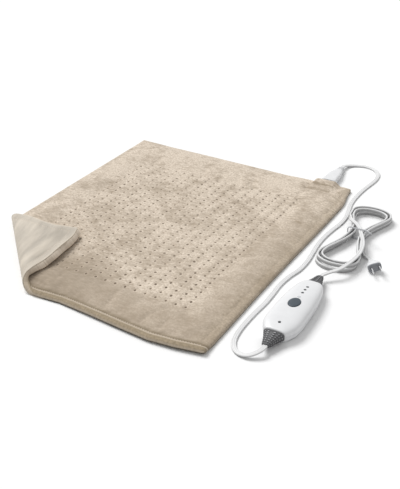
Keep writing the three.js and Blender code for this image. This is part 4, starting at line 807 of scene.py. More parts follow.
def bend(x, y, z):
    """Where a point of the flat pad lies once it has settled and its corner is turned over."""
    rolled = flap_roll(x, y, z)
    x, y = settle(x, y)
    y = y - rolled
    past = past_fold(x, y)
    arc = np.clip(past, 0.0, FOLD_RADIUS * FOLD_WRAP)
    flap = np.maximum(past - FOLD_RADIUS * FOLD_WRAP, 0.0)
    turn = arc / FOLD_RADIUS
    lean = turn + FLAP_CURL * flap
    across = FOLD_RADIUS * np.sin(turn) + (np.sin(lean) - np.sin(turn)) / FLAP_CURL
    height = FOLD_RADIUS * (1 - np.cos(turn)) + (np.cos(turn) - np.cos(lean)) / FLAP_CURL
    shift = np.where(past > 0, across - z * np.sin(lean) - past, 0.0)
    level = np.where(past > 0, height + z * np.cos(lean), z)
    aside = FLAP_SHEAR * flap + ROLL_SHEAR * arc * (1 - smoothstep(along_fold(x, y) / ROLL_REACH))
    droop = FLAP_DROOP * rise(flap, *FLAP_DROOPS) * (1 - rise(y - PAD_LOW[1], DROOP_START, DROOP_REACH))
    bent_x = x + FOLD_ACROSS[0] * shift + FOLD_ACROSS[1] * aside
    bent_y = y + FOLD_ACROSS[1] * shift - FOLD_ACROSS[0] * aside
    return np.stack([bent_x, bent_y, level - droop + front_lift(x, y)], axis=-1)


def flap_waves(x, y):
    """Soft folds of the turned-over corner, which only stand out from it, as a shift across the cloth."""
    past, beside = past_fold(x, y), along_fold(x, y)
    waves = sum(size * np.sin(beside / a + past / b + phase) for size, a, b, phase in FLAP_WAVES)
    waves = WAVE_SIZE * waves * rise(past, *FLAP_WAVED)
    return (waves - np.sqrt(waves**2 + WAVE_ROUND)) / 2 + WAVE_LEVEL


def hangs_free(x, y):
    """One where the corner is turned over and hangs free, and nothing before the fold."""
    return rise(past_fold(x, y), *FLAP_FREE)


def flap_fill(x, y):
    """How much fuller the plush is where the corner hangs free, and at the front end of its roll."""
    free = hangs_free(x, y)
    rolled = rise(past_fold(x, y), *ROLL_FILLED) * (1 - rise(y, PAD_LOW[1], ROLL_END))
    return FLAP_FILL * free + ROLL_FILL * rolled * (1 - free)


def flap_roll(x, y, z):
    """How far the plush rolls out past the turned-over front edge: more, the further from its cloth."""
    at_edge = hangs_free(x, y) * (1 - rise(y, PAD_LOW[1], ROLL_WIDTH))
    return FLAP_ROLL * at_edge * np.clip(z / ROLL_HEIGHT, 0.0, 1.0)


def edge_distance(pad, x, y):
    return np.minimum(pad.width / MM / 2 - np.abs(x), pad.length / MM / 2 - np.abs(y))


def round_corners(pad, x, y):
    """Moves the points of a square-cornered grid onto round corners."""
    radius = pad.corner / MM
    square_x = pad.width / MM / 2 - radius
    square_y = pad.length / MM / 2 - radius
    u = np.maximum(np.abs(x) - square_x, 0.0) / radius
    v = np.maximum(np.abs(y) - square_y, 0.0) / radius
    in_x = np.sign(x) * np.minimum(np.abs(x), square_x)
    in_y = np.sign(y) * np.minimum(np.abs(y), square_y)
    round_x = in_x + np.sign(x) * radius * u * np.sqrt(1 - v * v / 2)
    round_y = in_y + np.sign(y) * radius * v * np.sqrt(1 - u * u / 2)
    return round_x, round_y


def pocket_share(x, y):
    beside = smoothstep(1 - (np.abs(x - SOCKET_X) - POCKET_HALF) / POCKET_SLOPE)
    return beside * smoothstep(1 - (POCKET_FRONT - y) / POCKET_RAMP)


def dot_closeness(pad, x, y):
    """One at a sewn dot, and nothing half a pitch away from it."""
    row_pitch, dot_pitch = pad.row_pitch / MM, pad.dot_pitch / MM
    row = np.clip(np.round((x - ROW_CENTRE) / row_pitch), -(pad.rows // 2), pad.rows // 2)
    dot = np.clip(np.round((y - FIRST_DOT) / dot_pitch), 0, pad.dots - 1)
    away = np.hypot(x - ROW_CENTRE - row * row_pitch, y - FIRST_DOT - dot * dot_pitch)
    return np.clip(1 - away / (dot_pitch / 2), 0.0, 1.0)


def plush_height(pad, x, y):
    distance = edge_distance(pad, x, y)
    height = np.interp(distance, EDGE_PROFILE[:, 0], EDGE_PROFILE[:, 1])
    crown_x, crown_y = (np.clip(1 - (at / reach) ** 2, 0, 1) for at, reach in zip((x, y), CROWN_REACH))
    height += CROWN * crown_x * crown_y
    height -= DOT_DEPTH * rise(dot_closeness(pad, x, y), *DOT_PULL)
    height -= SEAM_DEPTH * bell(front_distance(pad, y) - pad.hem / MM, SEAM_WIDTH)
    rolled = POCKET_TOP - MOUTH_DROP * np.exp(-distance / MOUTH_ROUND)
    rolled += POCKET_TURN_STEP * rise(-distance, -POCKET_TURN, POCKET_TURN_EDGE)
    return lerp(height, rolled, pocket_share(x, y))


def plush_underside(pad, x, y):
    height = np.interp(edge_distance(pad, x, y), EDGE_PROFILE[:, 0], EDGE_PROFILE[:, 1])
    inside = np.maximum(HEM_UNDERSIDE, height - PLUSH_THICKNESS)
    inside = np.where(edge_distance(pad, x, y) < pad.hem / MM, HEM_UNDERSIDE, inside)
    return lerp(inside, POCKET_UNDERSIDE, pocket_share(x, y))


def grid_lines(half, first, pitch):
    """Lines of a grid: close together along the edge, and in step with the dots inside it."""
    edge = half - EDGE_PROFILE[:, 0]
    inner = edge[-1] - pitch / 2
    count = math.floor((inner - first) / pitch)
    start = math.ceil((-inner - first) / pitch)
    lattice = first + pitch * np.arange(start, count + 1)
    return np.concatenate([-edge, lattice, edge[::-1]])


def pad_grid(pad, step_x, step_y):
    """Places of a grid over the pad: with square corners, and then with its round ones."""
    lines_x = grid_lines(pad.width / MM / 2, ROW_CENTRE, step_x)
    lines_y = grid_lines(pad.length / MM / 2, FIRST_DOT, step_y)
    square_x, square_y = np.meshgrid(lines_x, lines_y, indexing="ij")
    return square_x, square_y, *round_corners(pad, square_x, square_y)


# Cloth simulation: how long it runs, and how the plush stretches, bends and is blown up
CLOTH_FRAMES = 20
CLOTH_SETTINGS = {
    "vertex_group_mass": "held", "quality": 4, "mass": 0.15, "tension_stiffness": 12,
    "compression_stiffness": 12, "shear_stiffness": 4, "bending_stiffness": 0.15, "shrink_min": -0.006,
    "use_pressure": True, "uniform_pressure_force": 1.2,
}


def simulate_plush(points, pinned, cells):
    """Cloth simulation of the plush, held at its hem and its sewn dots, so that it puckers between them."""
    sheet = add_piece("plush_trial", points, cells)
    held = sheet.vertex_groups.new(name="held")
    held.add(np.flatnonzero(pinned).tolist(), 1.0, "REPLACE")
    cloth = sheet.modifiers.new("Cloth", "CLOTH")
    for name, value in CLOTH_SETTINGS.items():
        setattr(cloth.settings, name, value)
    cloth.settings.effector_weights.gravity = 0.0
    cloth.collision_settings.use_collision = False
    scene = bpy.context.scene
    for number in range(CLOTH_FRAMES):
        scene.frame_set(number + 1)
    result = sheet.evaluated_get(bpy.context.evaluated_depsgraph_get()).data
    moved = np.empty(len(points) * 3)
    result.vertices.foreach_get("co", moved)
    bpy.data.objects.remove(sheet)
    scene.frame_set(1)
    return moved.reshape(-1, 3) / MM


def twice_as_fine(values):
    """A grid of values with a cubic midpoint between each two, along both of its sides."""
    for axis in (0, 1):
        values = np.moveaxis(values, axis, 0)
        before = np.concatenate([values[:1], values[:-2]])
        after = np.concatenate([values[2:], values[-1:]])
        middle = (9 * (values[:-1] + values[1:]) - before - after) / 16
        fine = np.empty((2 * len(values) - 1, *values.shape[1:]))
        fine[0::2] = values
        fine[1::2] = middle
        values = np.moveaxis(fine, 0, axis)
    return values


def grid_cells(rows, columns, start=0):
    """Quads of a grid whose points are counted row by row."""
    corner = start + np.arange(rows - 1)[:, None] * columns + np.arange(columns - 1)
    quads = np.stack([corner, corner + columns, corner + columns + 1, corner + 1], axis=-1)
    return [tuple(quad) for quad in quads.reshape(-1, 4).tolist()]


def rim_of(rows, columns):
    """Points along the border of a grid, once round."""
    rim = [(0, j) for j in range(columns)]
    rim += [(i, columns - 1) for i in range(1, rows)]
    rim += [(rows - 1, j) for j in range(columns - 2, -1, -1)]
    rim += [(i, 0) for i in range(rows - 2, 0, -1)]
    return rim


# Points round a cell of two by two, in order
ROUND_CELL = ((0, 0), (0, 1), (0, 2), (1, 2), (2, 2), (2, 1), (2, 0), (1, 0))


def two_faced(upper, lower):
    """Points and faces of a sheet between two grids, the lower one coarser inside its border."""
    rows, columns = upper.shape[:2]
    faces = grid_cells(rows, columns)
    border = set(rim_of(rows, columns))
    number = {}
    points = [upper.reshape(-1, 3)]
    for i in range(rows):
        for j in range(columns):
            if (i, j) in border or (i % 2 == 0 and j % 2 == 0):
                number[i, j] = rows * columns + len(number)
    points.append(np.array([lower[i, j] for i, j in number]))
    for i in range(0, rows - 1, 2):
        for j in range(0, columns - 1, 2):
            round_cell = [(i + k, j + l) for k, l in ROUND_CELL]
            faces.append(tuple(number[spot] for spot in round_cell if spot in number))
    rim = rim_of(rows, columns)
    for (i, j), (k, l) in zip(rim, rim[1:] + rim[:1]):
        faces.append((i * columns + j, k * columns + l, number[k, l], number[i, j]))
    spots = np.array(list(number))
    return np.concatenate(points), faces, spots


def write_cloth_layers(piece, flat, layers):
    """The flat place of each point as a UV map, in metres, and further values as attributes."""
    uv = piece.data.uv_layers.new(name="flat")
    uv.data.foreach_set("uv", (flat[sheet_corners(piece.data)] * MM).ravel())
    for name, values in layers.items():
        write_values(piece.data, name, values.astype(np.float32))


def drift(x, y, scale, seed):
    """Smooth noise at each point."""
    spots = zip((x / scale).ravel().tolist(), (y / scale).ravel().tolist())
    return np.array([noise.noise(Vector((u, v, seed))) for u, v in spots]).reshape(x.shape)


# Hem, ridges, seams and creases of the plush, with painted shade deepening the front hem, along the right
# rim, in the seams and in the creases, and a painted highlight on the ridge: how strong each shows, where it
# lies and how wide it is
HEM_FRONT_SHARE = 0.9
RIGHT_RIM_SHADE_SHARE = 0.42
HEM_INNER_EDGE = (-4.0, 2.0)
RIDGE_BEFORE_SEAM = 2.9
RIDGE_WIDTH = 1.3
RIM_SHARE = 0.8
RIM_WIDTH = 0.8
SEAM_FADES = (4.5, 1.6)
GROOVE_SHARE = 0.55
GROOVE_BEFORE_SEAM = 6.5
GROOVE_WIDTH = 1.4
CREASE_SHARE = 0.75
CREASE_FOOT = 0.06
CREASE_FOOT_ENDS = (0.12, 0.4)
CREASE_BEHIND = 1.0
CREASE_WIDTH = 1.8

# Painted shading of the plush: where it falls, and how strongly, as painted shade at the front and the right
# and as painted light at the back
SHADE_RIGHTWARDS = (-30.0, 100.0)
SHADE_FRONT = (-155.0, -195.0)
SHADE_FRONT_FADE = 60.0
SHADE_FRONT_SHARE = (1.0, 0.74)
SHADE_RIGHT = (150.0, 70.0)
SHADE_RIGHT_SHARE = (0.62, 0.12)
SHADE_RIGHT_FADE = (-50.0, 350.0)
LIGHT_BACK = (60.0, 150.0)
LIGHT_BACK_SHARE = 0.35


def hem_and_rim_shade(pad, x, y):
    """How much of the hem's colour shows: most along the front, partly the hem's own colour and partly
    painted shade, and some along the right as painted shade on its rim; none elsewhere.
    """
    band = 1 - rise(front_distance(pad, y) - pad.hem / MM, *HEM_INNER_EDGE)
    band *= HEM_FRONT_SHARE * (1 - hangs_free(x, y))
    return np.maximum(band, RIGHT_RIM_SHADE_SHARE * rise(x, *RIGHT_RIM_SHADE))


def ridge_share(pad, y):
    """The two pale lines of the front hem: a painted highlight on the ridge before its seam, and a paler line
    at its rim.
    """
    distance = front_distance(pad, y)
    ridge = bell(distance - pad.hem / MM + RIDGE_BEFORE_SEAM, RIDGE_WIDTH)
    return np.maximum(ridge, RIM_SHARE * bell(distance, RIM_WIDTH))


def seam_share(pad, y):
    """Painted shade in the grooves along the front seam, which fades towards the pad, and in a groove before
    the band.
    """
    away = front_distance(pad, y) - pad.hem / MM
    seam = bell(away, np.where(away > 0, *SEAM_FADES))
    return np.maximum(seam, GROOVE_SHARE * bell(away + GROOVE_BEFORE_SEAM, GROOVE_WIDTH))


def pocket_crease(pad, x, y):
    """Painted shade in the creases round the foot of the pocket and before its turned mouth."""
    share = pocket_share(x, y)
    foot = smoothstep(share / CREASE_FOOT) * (1 - rise(share, *CREASE_FOOT_ENDS))
    turn = share * bell(edge_distance(pad, x, y) - POCKET_TURN - CREASE_BEHIND, CREASE_WIDTH)
    return CREASE_SHARE * np.maximum(foot, turn)


def painted_plush_shading(x, y):
    """Painted shading of the plush: painted shade along the front and right margins, and, below nothing,
    painted light towards the back.
    """
    rightwards = rise(x, *SHADE_RIGHTWARDS)
    front = smoothstep((lerp(*SHADE_FRONT, rightwards) - y) / SHADE_FRONT_FADE) * (1 - hangs_free(x, y))
    front *= lerp(*SHADE_FRONT_SHARE, rightwards)
    right = rise(x, *SHADE_RIGHT) * lerp(*SHADE_RIGHT_SHARE, rise(y, *SHADE_RIGHT_FADE))
    return np.maximum(front, right) - LIGHT_BACK_SHARE * rise(y, *LIGHT_BACK) * (1 - right)


# Plush: its unevenness before the simulation, what is held, how far it may swell and what stays hidden
UNEVENNESS = 0.35
UNEVEN_SCALE = 28.0
UNEVEN_SEED = 3.1
HELD_DOT = 0.95
HELD_POCKET = 0.02
SWELL_LIMITS = ((-1.6, -1.6, -1.0), (1.6, 1.6, 2.6))
HIDDEN_FOLD = 10.0
HIDDEN_POCKET = 0.05


def make_plush(pad):
    """The plush top cover: swelled between its dots by the simulation, then folded with its corner."""
    square_x, square_y, flat_x, flat_y = pad_grid(pad, pad.row_pitch / MM / 4, pad.dot_pitch / MM / 3)
    height = plush_height(pad, square_x, square_y)
    height = height + UNEVENNESS * drift(square_x, square_y, UNEVEN_SCALE, UNEVEN_SEED)
    resting = np.stack([flat_x, flat_y, height], axis=-1)
    distance = edge_distance(pad, square_x, square_y)
    closeness = dot_closeness(pad, square_x, square_y)
    swelled = resting.copy()
    pinned = (distance < HELD_BORDER) | (closeness > HELD_DOT)
    pinned |= pocket_share(square_x, square_y) > HELD_POCKET
    cells = grid_cells(*square_x.shape)
    moved = simulate_plush(resting.reshape(-1, 3), pinned.ravel(), cells).reshape(resting.shape)
    swelled += np.clip(moved - resting, *SWELL_LIMITS)
    upper = twice_as_fine(swelled)
    fine_x, fine_y = twice_as_fine(square_x), twice_as_fine(square_y)
    flat = np.stack(round_corners(pad, fine_x, fine_y), axis=-1)
    waves = flap_waves(flat[..., 0], flat[..., 1])
    lower = bend(flat[..., 0], flat[..., 1], plush_underside(pad, fine_x, fine_y) + waves)
    upper = bend(upper[..., 0], upper[..., 1], upper[..., 2] + waves + flap_fill(flat[..., 0], flat[..., 1]))
    points, faces, spots = two_faced(upper, lower)
    piece = add_piece("pad_plush", points, faces)
    under = (spots[:, 0], spots[:, 1])
    layers = {
        # Closeness to a sewn dot: painted shade in its dimple and a paler ring round it
        "near_dot": dot_closeness(pad, fine_x, fine_y) ** 2,
        # The front hem, partly painted shade, and painted shade along the right rim
        "hem": hem_and_rim_shade(pad, fine_x, fine_y),
        # Painted shading: shade at the front and right margins, light at the back
        "painted_shading": painted_plush_shading(fine_x, fine_y),
        # Painted highlight on the hem's ridge, and a paler line at its rim
        "ridge": ridge_share(pad, fine_y),
        # Painted shade in the seam grooves and the pocket's creases
        "seam": np.maximum(seam_share(pad, fine_y), pocket_crease(pad, fine_x, fine_y)),
    }
    layers = {name: np.concatenate([values.ravel(), values[under]]) for name, values in layers.items()}
    hidden = 1 - smoothstep(past_fold(*flat[under].T) / HIDDEN_FOLD)
    hidden *= 1 - smoothstep(pocket_share(fine_x[under], fine_y[under]) / HIDDEN_POCKET)
    layers["shaded"] = np.concatenate([np.zeros(fine_x.size), hidden])
    write_cloth_layers(piece, np.concatenate([flat.reshape(-1, 2), flat[under]]), layers)
    return piece


# Underside cloth: its seam and rim, and where its colour changes
UNDER_SEAM_DEPTH = 0.5
UNDER_SEAM_WIDTH = 1.2
UNDER_RIM = 0.35
UNDER_HEM = (10.5, 3.0)
TURNED_WIDTH = 1.6
SHADED_WIDTH = 3.0
SHADED_TO_FOLD = (-14.0, 12.0)


def make_underside(pad):
    """The smooth cloth under the pad, with its hem seam, folded with its corner."""
    square_x, square_y, x, y = pad_grid(pad, CLOTH_STEP, CLOTH_STEP)
    distance = edge_distance(pad, square_x, square_y)
    seam = bell(distance - SEAM_INSET, UNDER_SEAM_WIDTH)
    waves = flap_waves(x, y)
    inner = bend(x, y, UNDERSIDE_THICKNESS + waves)
    outer = bend(x, y, UNDER_SEAM_DEPTH * seam + UNDER_RIM * np.exp(-distance) + waves)
    rows, columns = x.shape
    faces = grid_cells(rows, columns) + grid_cells(rows, columns, rows * columns)
    rim = [i * columns + j for i, j in rim_of(rows, columns)]
    for a, b in zip(rim, rim[1:] + rim[:1]):
        faces.append((a, b, b + rows * columns, a + rows * columns))
    piece = add_piece("pad_underside", np.concatenate([inner.reshape(-1, 3), outer.reshape(-1, 3)]), faces)
    flat = np.stack([x, y], axis=-1).reshape(-1, 2)
    hem = 1 - rise(distance.ravel(), *UNDER_HEM)
    turned = np.exp(-(distance.ravel() / TURNED_WIDTH)) * hangs_free(*flat.T)
    shaded = np.exp(-front_distance(pad, square_y.ravel()) / SHADED_WIDTH)
    shaded *= 1 - rise(past_fold(*flat.T), *SHADED_TO_FOLD)
    layers = {"hem": hem, "turned": turned, "shaded": shaded}
    layers = {name: np.concatenate([values, values]) for name, values in layers.items()}
    write_cloth_layers(piece, np.concatenate([flat, flat]), layers)
    return piece


def make_dots(pad, finish):
    """Sewn dots on the plush."""
    rows = ROW_CENTRE + (np.arange(pad.rows) - (pad.rows - 1) / 2) * pad.row_pitch / MM
    dots = FIRST_DOT + np.arange(pad.dots) * pad.dot_pitch / MM
    x, y = (values.ravel() for values in np.meshgrid(rows, dots, indexing="ij"))
    height = plush_height(pad, x, y) + flap_waves(x, y) + flap_fill(x, y) + THREAD_RISE
    spots = bend(x, y, height)
    piece = add_piece("sewn_dots", spots, [])
    facing = bend(x, y, height + 1) - spots
    write_values(piece.data, "facing", facing.astype(np.float32), kind="FLOAT_VECTOR", field="vector")
    values = {"Length": pad.dot_size, "Width": pad.dot_size * DOT_NARROW, "Height": DOT_HEIGHT * MM}
    return run_tree(piece, dot_tree(), {**values, "Seed": 7, "Material": finish})


def make_stitches(pad, finish):
    """Seam of the hem: along the front of the plush, whose pile hides the rest, and round the underside."""
    half = np.array((pad.width / MM / 2 - SEAM_INSET, pad.length / MM / 2 - SEAM_INSET))
    corners = np.array([(-1, -1), (1, -1), (1, 1), (-1, 1), (-1, -1)]) * half
    points, edges = [], []
    for above, run in ((True, corners[:2]), (False, corners)):
        path = evenly(run.astype(float), CLOTH_STEP)
        x, y = round_corners(pad, path[:, 0], path[:, 1])
        height = np.full(len(path), UNDER_STITCH)
        if above:
            height = plush_height(pad, path[:, 0], path[:, 1]) + flap_fill(x, y) + THREAD_RISE
        start = len(points)
        points.extend(bend(x, y, height + flap_waves(x, y)).tolist())
        edges.extend((start + i, start + i + 1) for i in range(len(path) - 1))
    piece = add_piece("hem_stitches", points, [], edges=edges)
    values = {"Stitch": pad.stitch, "Gap": STITCH_GAP * MM, "Thread": STITCH_THREAD * MM, "Material": finish}
    return run_tree(piece, stitch_tree(), values)


# Cords: their routes, measured from the pad's back right corner
LEAD_START = np.array((191.0, 386.1, 7.0))
LEAD_END = np.array((314.0, -253.3, 11.0))
LEAD_ROUTE = from_corner([
    (-61, 99, 5), (-55, 109, 3), (-43, 117.5, 1.8), (-27, 122, 1.7), (-11, 119, 1.7), (1, 110.5, 1.7),
    (9.5, 97, 1.7), (13.5, 79, 1.7), (13.5, 59, 1.7), (10.5, 35, 1.7), (7.5, 11, 1.7), (6, -13, 1.7),
    (5.8, -37, 1.7), (7.5, -62, 1.7), (13, -89, 1.7), (18, -117, 1.7), (18, -145, 1.7), (14, -175, 1.7),
    (11, -205, 1.7), (11, -237, 1.7), (14, -269, 1.7), (17, -301, 1.7), (16, -331, 1.7), (10, -360, 1.7),
    (7, -389, 1.7), (8, -419, 1.7), (8.5, -448, 1.7), (6.5, -477, 1.7), (5.6, -507, 1.7), (6.5, -535, 1.7),
    (10.5, -557, 1.7), (19, -573, 1.9), (31, -582, 2.8), (44, -582.5, 4.8), (54, -576, 8),
])
MAINS_START = np.array((314.0, -44.7, 11.0))
MAINS_ROUTE = from_corner([
    (63.5, -339, 12.2), (69, -332.5, 13.6), (76, -325.5, 15), (82, -316.5, 16.6), (86, -305, 17.6),
    (89.5, -290, 17.8), (91.5, -274, 17.6), (92, -258, 17.4), (90.5, -242, 17.4), (87, -226, 17.6),
    (81.5, -211, 18),
])
HANK_IN = from_corner([(73, -193.5, 18.3)])[0]
HANK_IN_HEADING = unit(-0.45, 0.893, 0)
HANK_OUT = from_corner([(84.55, -210.15, 1.8)])[0]
HANK_OUT_HEADING = unit(0.303, -0.953, 0)
TAIL_ROUTE = from_corner([(89.5, -224.5, 1.9), (93.2, -232.5, 3), (97, -239, 5.4)])
PLUG_FACE = from_corner([(127, -279.5, 11)])[0]
PLUG_LEVEL = unit(0.49, -0.87, 0)
PLUG_PITCH = math.radians(12)
PLUG_ROLL = math.radians(16)
PLUG_LENGTH = 36.0
BACKWARDS = unit(0, 1, 0)
UPWARDS = unit(0, 0, 1)
PLUG_HEADING = PLUG_LEVEL * math.cos(PLUG_PITCH) + UPWARDS * math.sin(PLUG_PITCH)

# Hank: a run that crosses its waist, loops on edge in two layers, and a run that leaves along the floor
HANK_CENTRE = from_corner([(61.5, -182, 0)])[0]
HANK_WAIST = 17.0
HANK_STEP = 5.4
HANK_FAR = (108.0, 70.0)
HANK_NEAR = (127.0, 75.0)
HANK_SWELL_DRAW = 1.2
HANK_LENGTH_DRAW = 1.6
HANK_LOWER_LENGTH = 8.0
HANK_LOWER_SWELL = 5.0
HANK_LAYERS = (11.2, 3.6)
HANK_LOOPS_IN = 2.0
HANK_LOOPS = 3.5
HANK_JOIN = 0.116
HANK_STEPS = 24
HANK_CLIMB = 0.07
HANK_WAIST_LIFT = 1.4
HANK_LIFT_REACH = 25.0
CROSSING_ROUTE = [
    (65, -177, 18.3, 0), (58, -167, 18.1, 0), (49.5, -157.5, 17.8, 0), (41.5, -151, 17.4, 0),
    (36.3, -144, 16.4, 0.2), (32, -135.5, 14.7, 0.6), (28.3, -125, 12.8, 0.9),
]
LEAVING_ROUTE = [(76.9, -189.5, 4.4, 0.8), (79.3, -197.3, 3, 0.35)]


def hank_loops():
    """The loops of the hank: each has a far and a near lobe, and they spiral in and out again below."""
    count = round((HANK_LOOPS - HANK_JOIN) * HANK_STEPS)
    loops = np.linspace(HANK_JOIN, HANK_LOOPS, count + 1)
    turn = 2 * np.pi * loops
    inset = HANK_STEP * (HANK_LOOPS_IN - np.abs(loops - HANK_LOOPS_IN))
    far = np.sin(turn) > 0
    climb = rise(loops, HANK_LOOPS_IN - HANK_CLIMB, 2 * HANK_CLIMB)
    length = np.where(far, HANK_FAR[0], HANK_NEAR[0]) + HANK_LOWER_LENGTH * climb
    swell = np.where(far, HANK_FAR[1], HANK_NEAR[1]) + HANK_LOWER_SWELL * climb - HANK_SWELL_DRAW * inset
    half_width = HANK_WAIST - inset + swell * np.sin(turn) ** 2
    y = (length - HANK_LENGTH_DRAW * inset) * np.sin(turn)
    x = HANK_CENTRE[0] - half_width * np.cos(turn)
    z = lerp(*HANK_LAYERS, climb) + HANK_WAIST_LIFT * bell(y, HANK_LIFT_REACH)
    return np.stack([x, HANK_CENTRE[1] + y, z, np.ones(len(y))], axis=1)


def lying_flat(points):
    """Route points with a roll share of nothing."""
    return np.pad(np.asarray(points, dtype=float), ((0, 0), (0, 1)))


def placed(rows):
    """Route rows that carry a roll share, measured from the corner."""
    rows = np.array(rows, dtype=float)
    rows[:, :3] += CORNER
    return rows


def mains_path(cords):
    """Route and roll of the whole mains cord, from the controller through its hank to the plug."""
    run = cords.mains_width / MM
    plug_back = PLUG_FACE - (PLUG_LENGTH + SEAT_GAP) * PLUG_HEADING
    rows = np.concatenate([
        lying_flat([MAINS_START, MAINS_START + run * BACKWARDS, *MAINS_ROUTE]),
        lying_flat([HANK_IN - run * HANK_IN_HEADING, HANK_IN + run * HANK_IN_HEADING]),
        placed(CROSSING_ROUTE), hank_loops(), placed(LEAVING_ROUTE),
        lying_flat([HANK_OUT - run * HANK_OUT_HEADING, HANK_OUT + run * HANK_OUT_HEADING, *TAIL_ROUTE]),
        lying_flat([plug_back - run * PLUG_HEADING, plug_back]),
    ])
    return evenly(catmull_rom(rows), cords.step / MM)


def lead_path(cords):
    run = cords.lead_width / MM
    points = [LEAD_START, LEAD_START + run * BACKWARDS, *LEAD_ROUTE, LEAD_END - run * BACKWARDS, LEAD_END]
    return evenly(catmull_rom(points), cords.step / MM)


def path_length(path):
    return float(np.linalg.norm(np.diff(path[:, :3], axis=0), axis=1).sum()) * MM


# Shares of a quarter of each cord's section: three cores in the lead, two in the mains cord
LEAD_QUARTER = [
    (1.0, 0.0), (0.97, 0.5), (0.86, 0.84), (0.68, 0.98), (0.5, 0.93), (0.38, 0.72), (0.25, 0.94), (0.0, 1.0),
]
MAINS_QUARTER = [(1.0, 0.0), (0.96, 0.5), (0.82, 0.88), (0.56, 1.0), (0.32, 0.93), (0.14, 0.76), (0.0, 0.66)]
# Depth below the top of a cord at which its painted shade is at its darkest
SHADE_DEPTH = 3.4


def cord_piece(name, path, section, rolls=None):
    """A cord of a flat section along a path, with a UV map that runs along it and painted shade below its
    top.
    """
    points, faces = sweep(path[:, :3], section, rolls)
    piece = add_piece(name, points, faces, 50)
    sides = len(section)
    heights = points[:, 2].reshape(len(path), sides)
    # Painted shade for the sheath: how far each point lies below the top of its ring
    cord_shade = np.clip((heights.max(axis=1, keepdims=True) - heights) / SHADE_DEPTH, 0.0, 1.0)
    write_values(piece.data, "cord_shade", cord_shade)
    ring, side = np.divmod(sheet_corners(piece.data), sides)
    uv = piece.data.uv_layers.new(name="along")
    uv.data.foreach_set("uv", np.stack([ring / len(path) * path_length(path), side / sides], axis=1).ravel())
    return piece


# Tie: its turns lie round the waist of the hank, between a low and a high side
TIE_ROOM = 2.8
TIE_LOW = 1.0
TIE_HIGH = 20.4
TIE_CORNER = 4.0
TIE_TURN_GAP = 0.9
TIE_SLANT = 0.7
TIE_END_LENGTH = 22.0
TIE_END_TWIST = 5.5 * math.pi
TIE_END_HEADING = unit(0.75, -0.62, 0.12)
TIE_END_SIDE = unit(0.62, 0.75, 0.0)


def make_tie(cords):
    """Wire tie: two turns round the waist of the hank and two twisted ends."""
    half = HANK_WAIST - HANK_STEP / 2 + TIE_ROOM
    turns = []
    for loop in (-1, 1):
        for cx, cz, start in ((1, 1, 0), (-1, 1, 90), (-1, -1, 180), (1, -1, 270)):
            for angle in np.radians(start + np.linspace(0, 90, 6)):
                x = cx * (half - TIE_CORNER) + TIE_CORNER * math.cos(angle)
                z = lerp(TIE_LOW, TIE_HIGH, (cz + 1) / 2) - cz * TIE_CORNER + TIE_CORNER * math.sin(angle)
                turns.append((x, loop * TIE_TURN_GAP, z))
    turns = np.array(turns) + (HANK_CENTRE[0], HANK_CENTRE[1], 0)
    turns[:, 1] += np.linspace(-TIE_SLANT, TIE_SLANT, len(turns))
    wire = cords.tie_wire / MM / 2
    solids = [sweep(evenly(turns, 1.2), round_section(wire, 8))]
    root = np.array((HANK_CENTRE[0] + half - TIE_CORNER, HANK_CENTRE[1], TIE_HIGH + wire))
    over = np.cross(TIE_END_SIDE, TIE_END_HEADING)
    share = np.linspace(0, 1, 40)[:, None]
    for phase in (0, math.pi):
        angle = phase + TIE_END_TWIST * share
        spread = wire * (1 + 1.6 * rise(share, 0.8, 0.2))
        spiral = root + TIE_END_HEADING * TIE_END_LENGTH * share
        spiral = spiral + spread * (TIE_END_SIDE * np.cos(angle) + over * np.sin(angle))
        solids.append(sweep(spiral, round_section(wire * 0.95, 8)))
    return add_piece("tie_wire", *joined(*solids))


# Controller: the outline of its half width, as shares, from the front end to the rear end
CONTROLLER_OUTLINE = [
    (-1, 0.586), (-0.87, 0.8), (-0.69, 0.96), (-0.35, 1), (0.24, 0.94), (0.66, 0.81), (0.88, 0.67), (1, 0.5),
]
CONTROLLER_X = (SHELL_LOW[0] + SHELL_HIGH[0]) / 2
CONTROLLER_Y = (SHELL_LOW[1] + SHELL_HIGH[1]) / 2
CONTROLLER_HALF = (SHELL_HIGH[1] - SHELL_LOW[1]) / 2
CONTROLLER_HALF_WIDTH = (SHELL_HIGH[0] - SHELL_LOW[0]) / 2
CONTROLLER_TOP = TOP_HIGH[2]
CONTROLLER_END_TOP = 20.0
END_ROUND = 2.6
UPPER_ROUNDNESS = 3.3
LOWER_ROUNDNESS = 3.2
SOLE_BULGE = 0.8
BUTTON_X = (BUTTON_LOW[0] + BUTTON_HIGH[0]) / 2
BUTTON_Y = (BUTTON_LOW[1] + BUTTON_HIGH[1]) / 2
BUTTON_HALF_WIDTH = 9.0
BUTTON_HALF_LENGTH = 12.5
BUTTON_CLEARANCE = 0.4
BUTTON_STEM = 3.0
BUTTON_EDGE = 0.95
BUTTON_LIP = 1.4
BUTTON_LIP_DEPTH = 3.0
BUTTON_LIP_REACH = 1.5
MARK_BEHIND = 5.0
MARK_RADIUS = 2.0
MARK_TURN = (125, 415)
MARK_BAR = (0.2, 2.6)
MARK_LINE = (0.7, 0.12)
MARK_RISE = 0.02
LAMP_HOLE = 2.4
SCREW_SHANK = 1.55
SCREW_HEAD = 3.0
SCREW_HEAD_TOP = 2.9
SCREW_TIP = 17.5
UPPER_BOSS = 3.5
LOWER_BOSS = 4.2
NECK_HALF_HEIGHT = 4.0
FRONT_NECK = 18.0
REAR_NECK = 10.0
LAMP_NODES = ("level_lamp_1", "level_lamp_2", "level_lamp_3", "power_lamp")
SCREW_NODES = ("screw_1", "screw_2", "screw_3", "screw_4")


